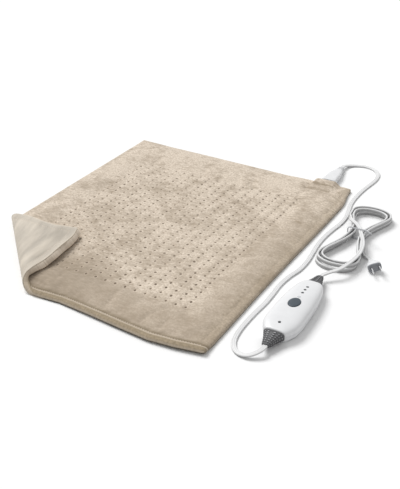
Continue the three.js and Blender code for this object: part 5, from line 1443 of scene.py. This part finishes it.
def outline_half_width(along):
    """Half width of the controller at a share of its half length, by a spline through the outline."""
    points = np.array(CONTROLLER_OUTLINE)
    spans = len(points) - 1
    t = np.linspace(0, spans, 400)
    k = np.minimum(t.astype(int), spans - 1)
    t = (t - k)[:, None]
    p0, p1 = points[np.maximum(k - 1, 0)], points[k]
    p2, p3 = points[k + 1], points[np.minimum(k + 2, spans)]
    v0, v1 = (p2 - p0) / 2, (p3 - p1) / 2
    curve = (2 * p1 - 2 * p2 + v0 + v1) * t**3 + (3 * p2 - 3 * p1 - 2 * v0 - v1) * t**2 + v0 * t + p1
    return CONTROLLER_HALF_WIDTH * np.interp(along, curve[:, 0], curve[:, 1])


def shell_top(y):
    """Height of the controller's back at a place along it."""
    share = np.abs((y - CONTROLLER_Y) / CONTROLLER_HALF)
    return lerp(CONTROLLER_TOP, CONTROLLER_END_TOP, share**3)


def controller_form(parting, inset=0.0, part="whole", stations=56, sides=72):
    """The controller's form, or its upper or lower part, set in by an inset, with rounded end edges."""
    half = CONTROLLER_HALF - inset
    ends = np.array((0.0, 0.15, 0.5, 1.1, 1.8, END_ROUND))
    middle = np.linspace(END_ROUND, 2 * half - END_ROUND, stations)[1:-1]
    places = np.concatenate([ends, middle, 2 * half - ends[::-1]]) - half
    rings = []
    for place in places:
        to_end = half - abs(place)
        fillet = END_ROUND - math.sqrt(END_ROUND**2 - max(END_ROUND - to_end, 0.0) ** 2)
        wide = outline_half_width(place / half) - inset - fillet
        y = CONTROLLER_Y + place
        up = shell_top(y) - parting - inset - fillet
        down = parting + SOLE_BULGE - inset - fillet
        ring = oval_ring(y, parting, wide, up, down, UPPER_ROUNDNESS, LOWER_ROUNDNESS, sides, CONTROLLER_X)
        ring[:, 2] = np.maximum(ring[:, 2], inset)
        if part == "upper":
            ring = ring[: sides // 2 + 1]
            ring[:, 2] = np.maximum(ring[:, 2], parting + SEAT_GAP / 2)
        elif part == "lower":
            ring = np.concatenate([ring[sides // 2 :], ring[:1]])
            ring[:, 2] = np.minimum(ring[:, 2], parting - SEAT_GAP / 2)
        rings.append(ring)
    return loft(rings)


def node_middle(name):
    low, high = box_mm(name)
    return (low + high) / 2


def neck_cutters(parting):
    """Ways through the end walls for the necks of the two strain reliefs."""
    made = []
    for side, width in ((-1, FRONT_NECK), (1, REAR_NECK)):
        ends = sorted(CONTROLLER_Y + side * (CONTROLLER_HALF + step) for step in (-4.0, 2.0))
        half = width / 2 + SEAT_GAP
        high = NECK_HALF_HEIGHT + SEAT_GAP
        made.append(loft([oval_ring(y, parting, half, high, sides=32, x=CONTROLLER_X) for y in ends]))
    return made


def screw_rods(low, high, radius):
    """A rod on the axis of each screw. Its top may be a height or follow the controller's back."""
    places = [node_middle(name) for name in SCREW_NODES]
    return joined(*(rod(x, y, low, high(y) if callable(high) else high, radius) for x, y, _ in places))


def hollow_shell(name, part, controls, boss_low, boss_high, boss_radius):
    """One half of the controller, hollowed out, with the bosses of its screws."""
    parting, wall = controls.parting / MM, controls.wall / MM
    shell = add_piece(name, *controller_form(parting, part=part))
    carve(shell, "DIFFERENCE", add_piece("hollow", *controller_form(parting, wall, stations=30, sides=48)))
    return carve(shell, "UNION", add_piece("bosses", *screw_rods(boss_low, boss_high, boss_radius)))


def make_upper_shell(controls):
    parting = controls.parting / MM
    shell = hollow_shell(
        "controller_top", "upper", controls, parting + SEAT_GAP / 2, lambda y: shell_top(y) - 3.0, UPPER_BOSS
    )
    wide, long = BUTTON_HALF_WIDTH + BUTTON_CLEARANCE, BUTTON_HALF_LENGTH + BUTTON_CLEARANCE
    levels = ((parting + 6, 0.0), (CONTROLLER_TOP - 0.75, 0.0), (CONTROLLER_TOP + 0.65, 0.9))
    tools = [loft([level_ring(BUTTON_X, BUTTON_Y, z, wide + flare, long + flare, 64) for z, flare in levels])]
    for name in LAMP_NODES:
        x, y, _ = node_middle(name)
        tools.append(rod(x, y, parting + 2, CONTROLLER_TOP + 1, LAMP_HOLE))
    tools.append(screw_rods(parting - 1, SCREW_TIP, SCREW_SHANK))
    carve(shell, "DIFFERENCE", add_piece("holes", *joined(*tools, *neck_cutters(parting))))
    return sharpen(shell, 32)


def make_lower_shell(controls):
    parting, wall = controls.parting / MM, controls.wall / MM
    shell = hollow_shell("controller_base", "lower", controls, wall / 2, parting - SEAT_GAP / 2, LOWER_BOSS)
    carve(shell, "DIFFERENCE", add_piece("heads", *screw_rods(-1, SCREW_HEAD_TOP, SCREW_HEAD)))
    shanks = screw_rods(1, parting + 1, SCREW_SHANK)
    carve(shell, "DIFFERENCE", add_piece("shanks", *joined(shanks, *neck_cutters(parting))))
    return sharpen(shell, 32)


def ribbed_boot(name, x, z, profile, sides, first_row, rows, step, pad_form, finish):
    """A strain relief through places, widths and heights, with every other row of its faces as grip pads."""
    rings = [oval_ring(y, z, wide / 2, high / 2, sides=sides, x=x) for y, wide, high in profile]
    piece = add_piece(name, *loft(rings))
    marks = np.zeros(len(piece.data.polygons), dtype=bool)
    for row in range(first_row, first_row + 2 * rows, 2):
        marks[row * sides + np.arange(0, sides, step)] = True
    write_values(piece.data, "grip_pad", marks, "FACE", "BOOLEAN")
    run_tree(piece, rib_tree(), {**pad_form, "Material": finish})
    return sharpen(piece, 28)


# Strain reliefs of the controller: end, side, rim, tip, length, neck width and rows of grip pads
BOOTS = (
    ("front", -1, (33.0, 17.0), (12.0, 7.2), 29.7, FRONT_NECK, 6),
    ("rear", 1, (27.0, 15.0), (11.0, 7.2), 28.7, REAR_NECK, 5),
)


def make_boot(name, controls, finish, side, rim, tip, length, neck_width, pad_rows):
    """A strain relief: flange and neck inside the end wall, and outside a rim and a taper with grip pads."""
    start = CONTROLLER_HALF + SEAT_GAP
    wall = CONTROLLER_HALF - 2.2 - SEAT_GAP
    neck_height = 2 * NECK_HALF_HEIGHT
    flange, flange_height = neck_width + 4.4, neck_height + 4.4
    (wide, high), (tip_wide, tip_high) = rim, tip
    profile = [
        (wall - 2.5, flange, flange_height), (wall, flange, flange_height), (wall, neck_width, neck_height),
        (start, neck_width, neck_height), (start, wide - 1.0, high - 1.0), (start + 0.5, wide, high),
        (start + 2.4, wide - 0.6, high - 0.5), (start + 3.2, wide - 2.4, high - 1.9),
    ]
    plain = len(profile)
    span = length - 5.2
    for i in range(2 * pad_rows + 1):
        share = i / (2 * pad_rows)
        taper = share**0.8
        across = lerp(wide - 3.6, tip_wide - 0.6, taper)
        upright = lerp(high - 2.6, tip_high - 0.4, taper)
        profile.append((start + 3.6 + span * share, across, upright))
    profile += [(start + length - 0.9, tip_wide, tip_high), (start + length, tip_wide - 0.8, tip_high - 0.8)]
    profile = [(CONTROLLER_Y + side * y, across, upright) for y, across, upright in profile]
    pad_form = {"Height": controls.rib_height, "Top share": 0.72}
    parting = controls.parting / MM
    return ribbed_boot(name, CONTROLLER_X, parting, profile, 28, plain, pad_rows, 2, pad_form, finish)


def make_button():
    """Oval push button with a rounded edge, on its lip and stem."""
    wide, long = BUTTON_HALF_WIDTH, BUTTON_HALF_LENGTH
    stem_bottom, top = BUTTON_LOW[2], BUTTON_HIGH[2]
    lip = CONTROLLER_TOP - BUTTON_LIP_DEPTH
    lip_bottom = lip - BUTTON_LIP
    profile = [(lip_bottom, BUTTON_LIP_REACH), (lip, BUTTON_LIP_REACH), (lip, 0.0), (top - 1.3, 0.0)]
    for angle in np.radians((25, 50, 75)):
        edge = BUTTON_EDGE * (1 - math.sin(angle))
        profile.append((top - 0.35 - edge, -BUTTON_EDGE * (1 - math.cos(angle))))
    profile += [(top - 0.28, -1.6), (top - 0.1, -3.6), (top - 0.02, -6.0), (top, -8.0)]
    stem_ends = (stem_bottom, lip_bottom)
    stem = [level_ring(BUTTON_X, BUTTON_Y, z, BUTTON_STEM, BUTTON_STEM, 64) for z in stem_ends]
    cap = [level_ring(BUTTON_X, BUTTON_Y, z, wide + grow, long + grow, 64) for z, grow in profile]
    return add_piece("push_button", *loft(stem + cap), 40)


def make_power_mark():
    """A printed power mark behind the button: an open ring and a bar, standing a hair over the shell."""
    x, y = BUTTON_X, BUTTON_Y + BUTTON_HALF_LENGTH + MARK_BEHIND
    angles = np.radians(np.linspace(*MARK_TURN, 25))
    across, along = MARK_RADIUS * np.cos(angles), MARK_RADIUS * np.sin(angles)
    ring = np.stack([x + across, y + along, np.zeros(25)], axis=1)
    bar = np.stack([np.full(5, x), y + np.linspace(*MARK_BAR, 5), np.zeros(5)], axis=1)
    solids = []
    section = flat_section(*MARK_LINE, [(1, 0), (0.9, 1), (0, 1)])
    for path in (ring, bar):
        path[:, 2] = shell_top(path[:, 1]) + MARK_RISE
        solids.append(sweep(path, section))
    return add_piece("power_mark", *joined(*solids), 40)


# Connector and plug
CONNECTOR_Z = 7.0
GRIP_FRONT = 305.8
GRIP_LENGTH = 64.0
GRIP_EDGE = 1.5
GRIP_RIBS = (10.0, 28.0)
GRIP_RIB_PITCH = 4.5
GRIP_RIB_DEPTH = 0.45
GRIP_WIDTHS = ((0, 8, 20, 29, 42, 56, 64), (30, 29.4, 27.6, 27, 24, 18.4, 16))
GRIP_HEIGHTS = ((0, 29, 40, 52, 64), (13, 13, 12.6, 11.2, 10))
NOSE_HALF_WIDTH = 12.0
NOSE_HALF_HEIGHT = 3.5
NOSE_FRONT = 282.5
BORE_RADIUS = 2.5
BORE_PLACES = (-7, 0, 7)
BORE_FLOOR = 300.1
RELIEF_START = 370.1
RELIEF_LENGTH = 15.7
RELIEF_RIBS = 5


def make_connector():
    """The connector: a nose with three bores, and a grip with a waist, finger ribs and rounded edges."""
    edges = np.array((0.0, 0.4, 1.2))
    places = np.concatenate([edges, np.linspace(2.4, 61.6, 60), GRIP_LENGTH - edges[::-1]])
    rings = []
    for place in places:
        wide, high = np.interp(place, *GRIP_WIDTHS), np.interp(place, *GRIP_HEIGHTS)
        to_end = min(place, GRIP_LENGTH - place)
        fillet = GRIP_EDGE - math.sqrt(GRIP_EDGE**2 - max(GRIP_EDGE - to_end, 0.0) ** 2)
        rib = 0.0
        if GRIP_RIBS[0] < place < GRIP_RIBS[1]:
            turn = 2 * math.pi * (place - GRIP_RIBS[0]) / GRIP_RIB_PITCH
            rib = GRIP_RIB_DEPTH * (0.5 - 0.5 * math.cos(turn))
        power = float(lerp(5.0, 3.0, rise(place, 29, 35)))
        y, half, up = GRIP_FRONT + place, wide / 2 - fillet - rib, high / 2 - fillet
        rings.append(oval_ring(y, CONNECTOR_Z, half, up, round_up=power, sides=56, x=SOCKET_X))
    piece = add_piece("connector_grip", *loft(rings))
    low = (SOCKET_X - NOSE_HALF_WIDTH, NOSE_FRONT, CONNECTOR_Z - NOSE_HALF_HEIGHT)
    high = (SOCKET_X + NOSE_HALF_WIDTH, GRIP_FRONT + 2, CONNECTOR_Z + NOSE_HALF_HEIGHT)
    carve(piece, "UNION", add_piece("nose", *block(low, high)))
    bores = [
        level_rod(SOCKET_X + x, CONNECTOR_Z, NOSE_FRONT - 1, BORE_FLOOR, BORE_RADIUS) for x in BORE_PLACES
    ]
    carve(piece, "DIFFERENCE", add_piece("bores", *joined(*bores)))
    return sharpen(piece, 32)


def make_connector_boot(finish, height):
    """Short ribbed strain relief between the connector and its lead."""
    profile = [(0.0, 14.4, 8.4), (0.9, 14.4, 8.4)]
    plain = len(profile)
    for share in np.arange(2 * RELIEF_RIBS + 1) / (2 * RELIEF_RIBS):
        place = 1.2 + (RELIEF_LENGTH - 2.2) * share
        profile.append((place, lerp(13.4, 9.6, share), lerp(7.6, 4.9, share)))
    profile.append((RELIEF_LENGTH, 9.4, 4.7))
    profile = [(RELIEF_START + y, wide, high) for y, wide, high in profile]
    pad_form = {"Height": height * 0.6, "Top share": 0.9}
    return ribbed_boot(
        "connector_boot", SOCKET_X, CONNECTOR_Z, profile, 40, plain, RELIEF_RIBS, 1, pad_form, finish
    )


BLADE_PLACES = (-6.35, 6.35)
BLADE_WIDTH = 6.35
BLADE_THICKNESS = 1.5
BLADE_HOLE = 1.6
BLADE_HOLE_PLACE = 12.4


def plug_frame(points):
    """Turns points of the plug, whose blades point along +Y, into the row frame."""
    points = np.asarray(points, dtype=float)
    level = np.cross(PLUG_LEVEL, UPWARDS)
    upright = np.cross(level, PLUG_HEADING)
    across = level * math.cos(PLUG_ROLL) - upright * math.sin(PLUG_ROLL)
    over = level * math.sin(PLUG_ROLL) + upright * math.cos(PLUG_ROLL)
    return PLUG_FACE + points[:, :1] * across + points[:, 1:2] * PLUG_HEADING + points[:, 2:] * over


def plug_piece(name, solid, sharp_angle=None):
    points, faces = solid
    return add_piece(name, plug_frame(points), faces, sharp_angle)


def plug_loft(profile):
    return loft([oval_ring(y, 0.0, wide / 2, high / 2, round_up=3.5, sides=56) for y, wide, high in profile])


def make_plug_shell():
    profile = [
        (-36.0, 8.2, 4.6), (-35.6, 9.0, 5.2), (-30.0, 10.3, 6.5), (-24.6, 11.9, 8.3), (-24.2, 13.4, 9.8),
        (-23.2, 14.2, 10.6), (-19.0, 14.6, 10.9), (-16.5, 16.8, 12.0), (-13.5, 20.6, 13.9),
        (-11.0, 22.6, 14.8), (-9.0, 23.0, 15.0), (-3.9, 23.0, 15.0), (-3.1, 22.6, 14.6), (-2.8, 22.0, 14.0),
    ]
    return plug_piece("plug_shell", plug_loft(profile), 35)


def make_plug_plate():
    profile = [(-2.5, 22.0, 14.0), (-0.5, 22.0, 14.0), (-0.12, 21.6, 13.6), (0.0, 21.0, 13.0)]
    piece = plug_piece("plug_plate", plug_loft(profile))
    wide = BLADE_THICKNESS / 2 + SEAT_GAP
    high = BLADE_WIDTH / 2 + SEAT_GAP
    slots = [block((x - wide, -3.5, -high), (x + wide, 1, high)) for x in BLADE_PLACES]
    carve(piece, "DIFFERENCE", plug_piece("slots", joined(*slots)))
    return sharpen(piece, 30)


def make_blade(name, x):
    """A flat blade with a chamfered tip and the usual round hole."""
    profile = (
        (-2.5, BLADE_THICKNESS, BLADE_WIDTH), (14.6, BLADE_THICKNESS, BLADE_WIDTH),
        (16.4, 1.1, 5.6), (17.0, 0.7, 4.6),
    )
    corners = ((-1, -1), (1, -1), (1, 1), (-1, 1))
    rings = [[(x + i * thick / 2, y, j * wide / 2) for i, j in corners] for y, thick, wide in profile]
    piece = plug_piece(name, loft(rings))
    c, s = circle(20)
    y, z = BLADE_HOLE_PLACE + BLADE_HOLE * c, BLADE_HOLE * s
    hole = [np.stack([np.full(20, x + side), y, z], axis=1) for side in (-2, 2)]
    carve(piece, "DIFFERENCE", plug_piece("blade_hole", loft(hole)))
    return sharpen(piece, 25)


# Stage: the floor's reach, and the way that the key light falls, from the left and a little from behind
FLOOR_REACH = 4000.0
WHITE = (1.0, 1.0, 1.0, 1.0)
KEY_DIRECTION = (0.6, -0.22, -0.77)
KEY_SPREAD = math.radians(30)


# Operators
class HEATING_PAD_OT_stage(bpy.types.Operator):
    """Make the camera, the floor and the light"""

    bl_idname = "heating_pad.stage"
    bl_label = "Stage"

    def execute(self, context):
        stage = context.scene.heating_stage
        data = bpy.data.cameras.new("camera")
        data.lens = stage.lens
        camera = put_in_scene("camera", data)
        camera.location = stage.camera_place
        camera.rotation_euler = stage.camera_turn
        context.scene.camera = camera
        context.scene.view_settings.view_transform = "Standard"
        corners = [(x * FLOOR_REACH, y * FLOOR_REACH, 0) for x, y in ((-1, -1), (1, -1), (1, 1), (-1, 1))]
        floor = add_piece("floor", corners, [(0, 1, 2, 3)])
        floor.data.materials.append(self.floor_finish(stage))
        self.light_world(context.scene, stage)
        sun = bpy.data.lights.new("key", "SUN")
        sun.energy = stage.key
        sun.angle = KEY_SPREAD
        key = put_in_scene("key", sun)
        key.rotation_euler = Vector(KEY_DIRECTION).to_track_quat("-Z", "Y").to_euler()
        return {"FINISHED"}

    @staticmethod
    def seen(tree):
        """One for the rays that show the stage itself, and nothing for those that only light the object."""
        path = node(tree, "ShaderNodeLightPath").outputs
        reflected = summed(tree, path["Is Glossy Ray"], path["Is Transmission Ray"], "MAXIMUM")
        return summed(tree, path["Is Camera Ray"], reflected, "MAXIMUM")

    def floor_finish(self, stage):
        finish, tree, bsdf = start_finish("floor_finish")
        tint = mixed(tree, self.seen(tree), rgba(stage.floor), WHITE)
        give(tree, bsdf, {"Base Color": tint, "Roughness": 1.0, "Specular IOR Level": 0.0})
        return finish

    def light_world(self, scene, stage):
        world = bpy.data.worlds.new("studio")
        world.use_nodes = True
        tree = world.node_tree
        strength = ranged(tree, self.seen(tree), 0.0, 1.0, stage.ambient, 1.0)
        give(tree, tree.nodes["Background"], {"Color": WHITE, "Strength": strength})
        scene.world = world


class HEATING_PAD_OT_cords(bpy.types.Operator):
    """Make the lead to the pad, the mains cord with its hank, and the tie"""

    bl_idname = "heating_pad.cords"
    bl_label = "Cords and tie"

    def execute(self, context):
        cords = context.scene.heating_cords
        sheath = sheath_finish("cord_sheath", cords.sheath)
        path = lead_path(cords)
        section = flat_section(cords.lead_width / MM, cords.thickness / MM, LEAD_QUARTER)
        lead = cord_piece("lead_cord", path, section)
        dress(lead, "control_set", sheath, ["pad_lead"])
        route = mains_path(cords)
        path, rolls = route[:, :3], route[:, 3] * math.pi / 2
        section = flat_section(cords.mains_width / MM, cords.thickness / MM, MAINS_QUARTER)
        mains = cord_piece("mains_lead", path, section, rolls)
        dress(mains, "control_set", sheath, ["mains_cord", "mains_hank", "mains_cord_tail"])
        tie = make_tie(cords)
        tie_finish = moulded("tie_finish", cords.tie, 0.35, 0.1, 600.0, 0.03)
        dress(tie, "control_set", tie_finish, ["hank_tie"])
        controls = context.scene.heating_controller
        white = moulded("plug_white", controls.shell, 0.38)
        shell = dress(make_plug_shell(), "control_set", white, ["plug_body"])
        plate_finish = moulded("plug_grey", controls.plate, 0.45)
        plate = dress(make_plug_plate(), "control_set", plate_finish, ["plug_face"])
        bright = moulded("plug_plating", (0.66, 0.66, 0.67), 0.22, 0.08, 700.0, 0.01, metal=1.0)
        for number, x in enumerate(BLADE_PLACES, 1):
            blade = make_blade(f"blade_{number}", x)
            dress(blade, "control_set", bright, [f"plug_blade_{number}"])
        return {"FINISHED"}


class HEATING_PAD_OT_pad(bpy.types.Operator):
    """Make the plush, the underside cloth, the sewn dots and the hem seam of the pad"""

    bl_idname = "heating_pad.pad"
    bl_label = "Pad"

    def execute(self, context):
        pad = context.scene.heating_pad
        plush = dress(make_plush(pad), "pad", plush_finish(pad), ["top_cover"])
        under = dress(make_underside(pad), "pad", underside_finish(pad), ["bottom_cover"])
        thread = felt_finish("hem_thread", tuple(pad.plush))
        stitches = make_stitches(pad, thread)
        dress(stitches, "pad", thread)
        knots = felt_finish("dot_thread", tuple(pad.dot))
        dress(make_dots(pad, knots), "pad", knots)
        return {"FINISHED"}


class HEATING_PAD_OT_controller(bpy.types.Operator):
    """Make the shells, the strain reliefs, the button and the mark of the hand controller"""

    bl_idname = "heating_pad.controller"
    bl_label = "Controller"

    def execute(self, context):
        controls = context.scene.heating_controller
        white = moulded("shell_white", controls.shell, 0.32, 0.03, 700.0, 0.015, coat=0.15)
        dress(make_upper_shell(controls), "control_set", white, ["upper_shell"])
        dress(make_lower_shell(controls), "control_set", white, ["lower_shell"])
        rubber = boot_finish("boot_rubber", controls.boot)
        for end, *form in BOOTS:
            boot = make_boot(f"{end}_boot", controls, rubber, *form)
            dress(boot, "control_set", rubber, [f"{end}_strain_relief"])
        slate = moulded("button_slate", controls.button, 0.42, 0.08, 800.0, 0.02)
        dress(make_button(), "button", slate, ["button_cap"])
        ink = moulded("mark_ink", controls.mark, 0.5)
        dress(make_power_mark(), "control_set", ink)
        return {"FINISHED"}


class HEATING_PAD_OT_connector(bpy.types.Operator):
    """Make the connector and its strain relief"""

    bl_idname = "heating_pad.connector"
    bl_label = "Connector"

    def execute(self, context):
        controls = context.scene.heating_controller
        white = moulded("connector_white", controls.shell, 0.36, 0.04)
        dress(make_connector(), "control_set", white, ["connector_body"])
        boot = make_connector_boot(white, controls.rib_height)
        dress(boot, "control_set", white, ["connector_relief"])
        return {"FINISHED"}


class HEATING_PAD_OT_inner_parts(bpy.types.Operator):
    """Give the CAD nodes that stay their finishes"""

    bl_idname = "heating_pad.inner_parts"
    bl_label = "Inner parts"

    def execute(self, context):
        finishes = {
            "felt": felt_finish("inner_felt", (0.8, 0.77, 0.69)),
            "white_cord": moulded("inner_sheath", (0.8, 0.8, 0.79), 0.5),
            "white_plastic": moulded("socket_white", (0.82, 0.82, 0.82), 0.4),
            "contact_brass": moulded("contact_brass", (0.68, 0.5, 0.22), 0.28, 0.12, 700.0, 0.01, metal=1.0),
            "bright_metal": moulded("inner_plating", (0.64, 0.64, 0.66), 0.3, 0.1, 700.0, 0.01, metal=1.0),
            "green_board": board_finish("board_lacquer", (0.03, 0.16, 0.07)),
            "black_plastic": moulded("inner_black", (0.022, 0.022, 0.025), 0.5, 0.2),
            "grey_plastic": moulded("inner_grey", (0.3, 0.31, 0.33), 0.5, 0.1),
            "amber_plastic": moulded("dipped_amber", (0.47, 0.2, 0.05), 0.3, 0.15, coat=0.4),
            "beige_ceramic": moulded("resistor_beige", (0.6, 0.5, 0.35), 0.6, 0.12),
            "lamp_lens": moulded("lamp_lens", (0.035, 0.04, 0.045), 0.15, 0.1, coat=0.5),
        }
        for part in frame["record"]["subparts"]:
            shown = frame["nodes"][part["node"]]
            if shown.hide_render:
                continue
            shown.data.materials.clear()
            shown.data.materials.append(finishes[part["material_slot"]])
        return {"FINISHED"}


class HEATING_PAD_PT_panel(bpy.types.Panel):
    """Steps and sizes of the heating pad"""

    bl_label = "Heating pad"
    bl_idname = "HEATING_PAD_PT_panel"
    bl_space_type = "VIEW_3D"
    bl_region_type = "UI"
    bl_category = "Heating pad"

    def draw(self, context):
        for step in STEPS:
            self.layout.operator(step.bl_idname)
        for name in SETTINGS:
            group = getattr(context.scene, name)
            column = self.layout.box().column()
            for key in group.bl_rna.properties.keys():
                if key not in ("rna_type", "name"):
                    column.prop(group, key)


STEPS = (
    HEATING_PAD_OT_stage, HEATING_PAD_OT_cords, HEATING_PAD_OT_pad, HEATING_PAD_OT_controller,
    HEATING_PAD_OT_connector, HEATING_PAD_OT_inner_parts,
)
SETTINGS = {
    "heating_pad": PadSettings,
    "heating_cords": CordSettings,
    "heating_controller": ControllerSettings,
    "heating_stage": StageSettings,
}
CLASSES = (*SETTINGS.values(), *STEPS, HEATING_PAD_PT_panel)


def register():
    for made in CLASSES:
        bpy.utils.register_class(made)
    for name, group in SETTINGS.items():
        setattr(bpy.types.Scene, name, PointerProperty(type=group))


def unregister():
    for name in SETTINGS:
        delattr(bpy.types.Scene, name)
    for made in reversed(CLASSES):
        bpy.utils.unregister_class(made)


def main():
    register()
    bpy.ops.heating_pad.stage()
    bpy.ops.heating_pad.cords()
    bpy.ops.heating_pad.pad()
    bpy.ops.heating_pad.controller()
    bpy.ops.heating_pad.connector()
    bpy.ops.heating_pad.inner_parts()


if __name__ == "__main__":
    main()
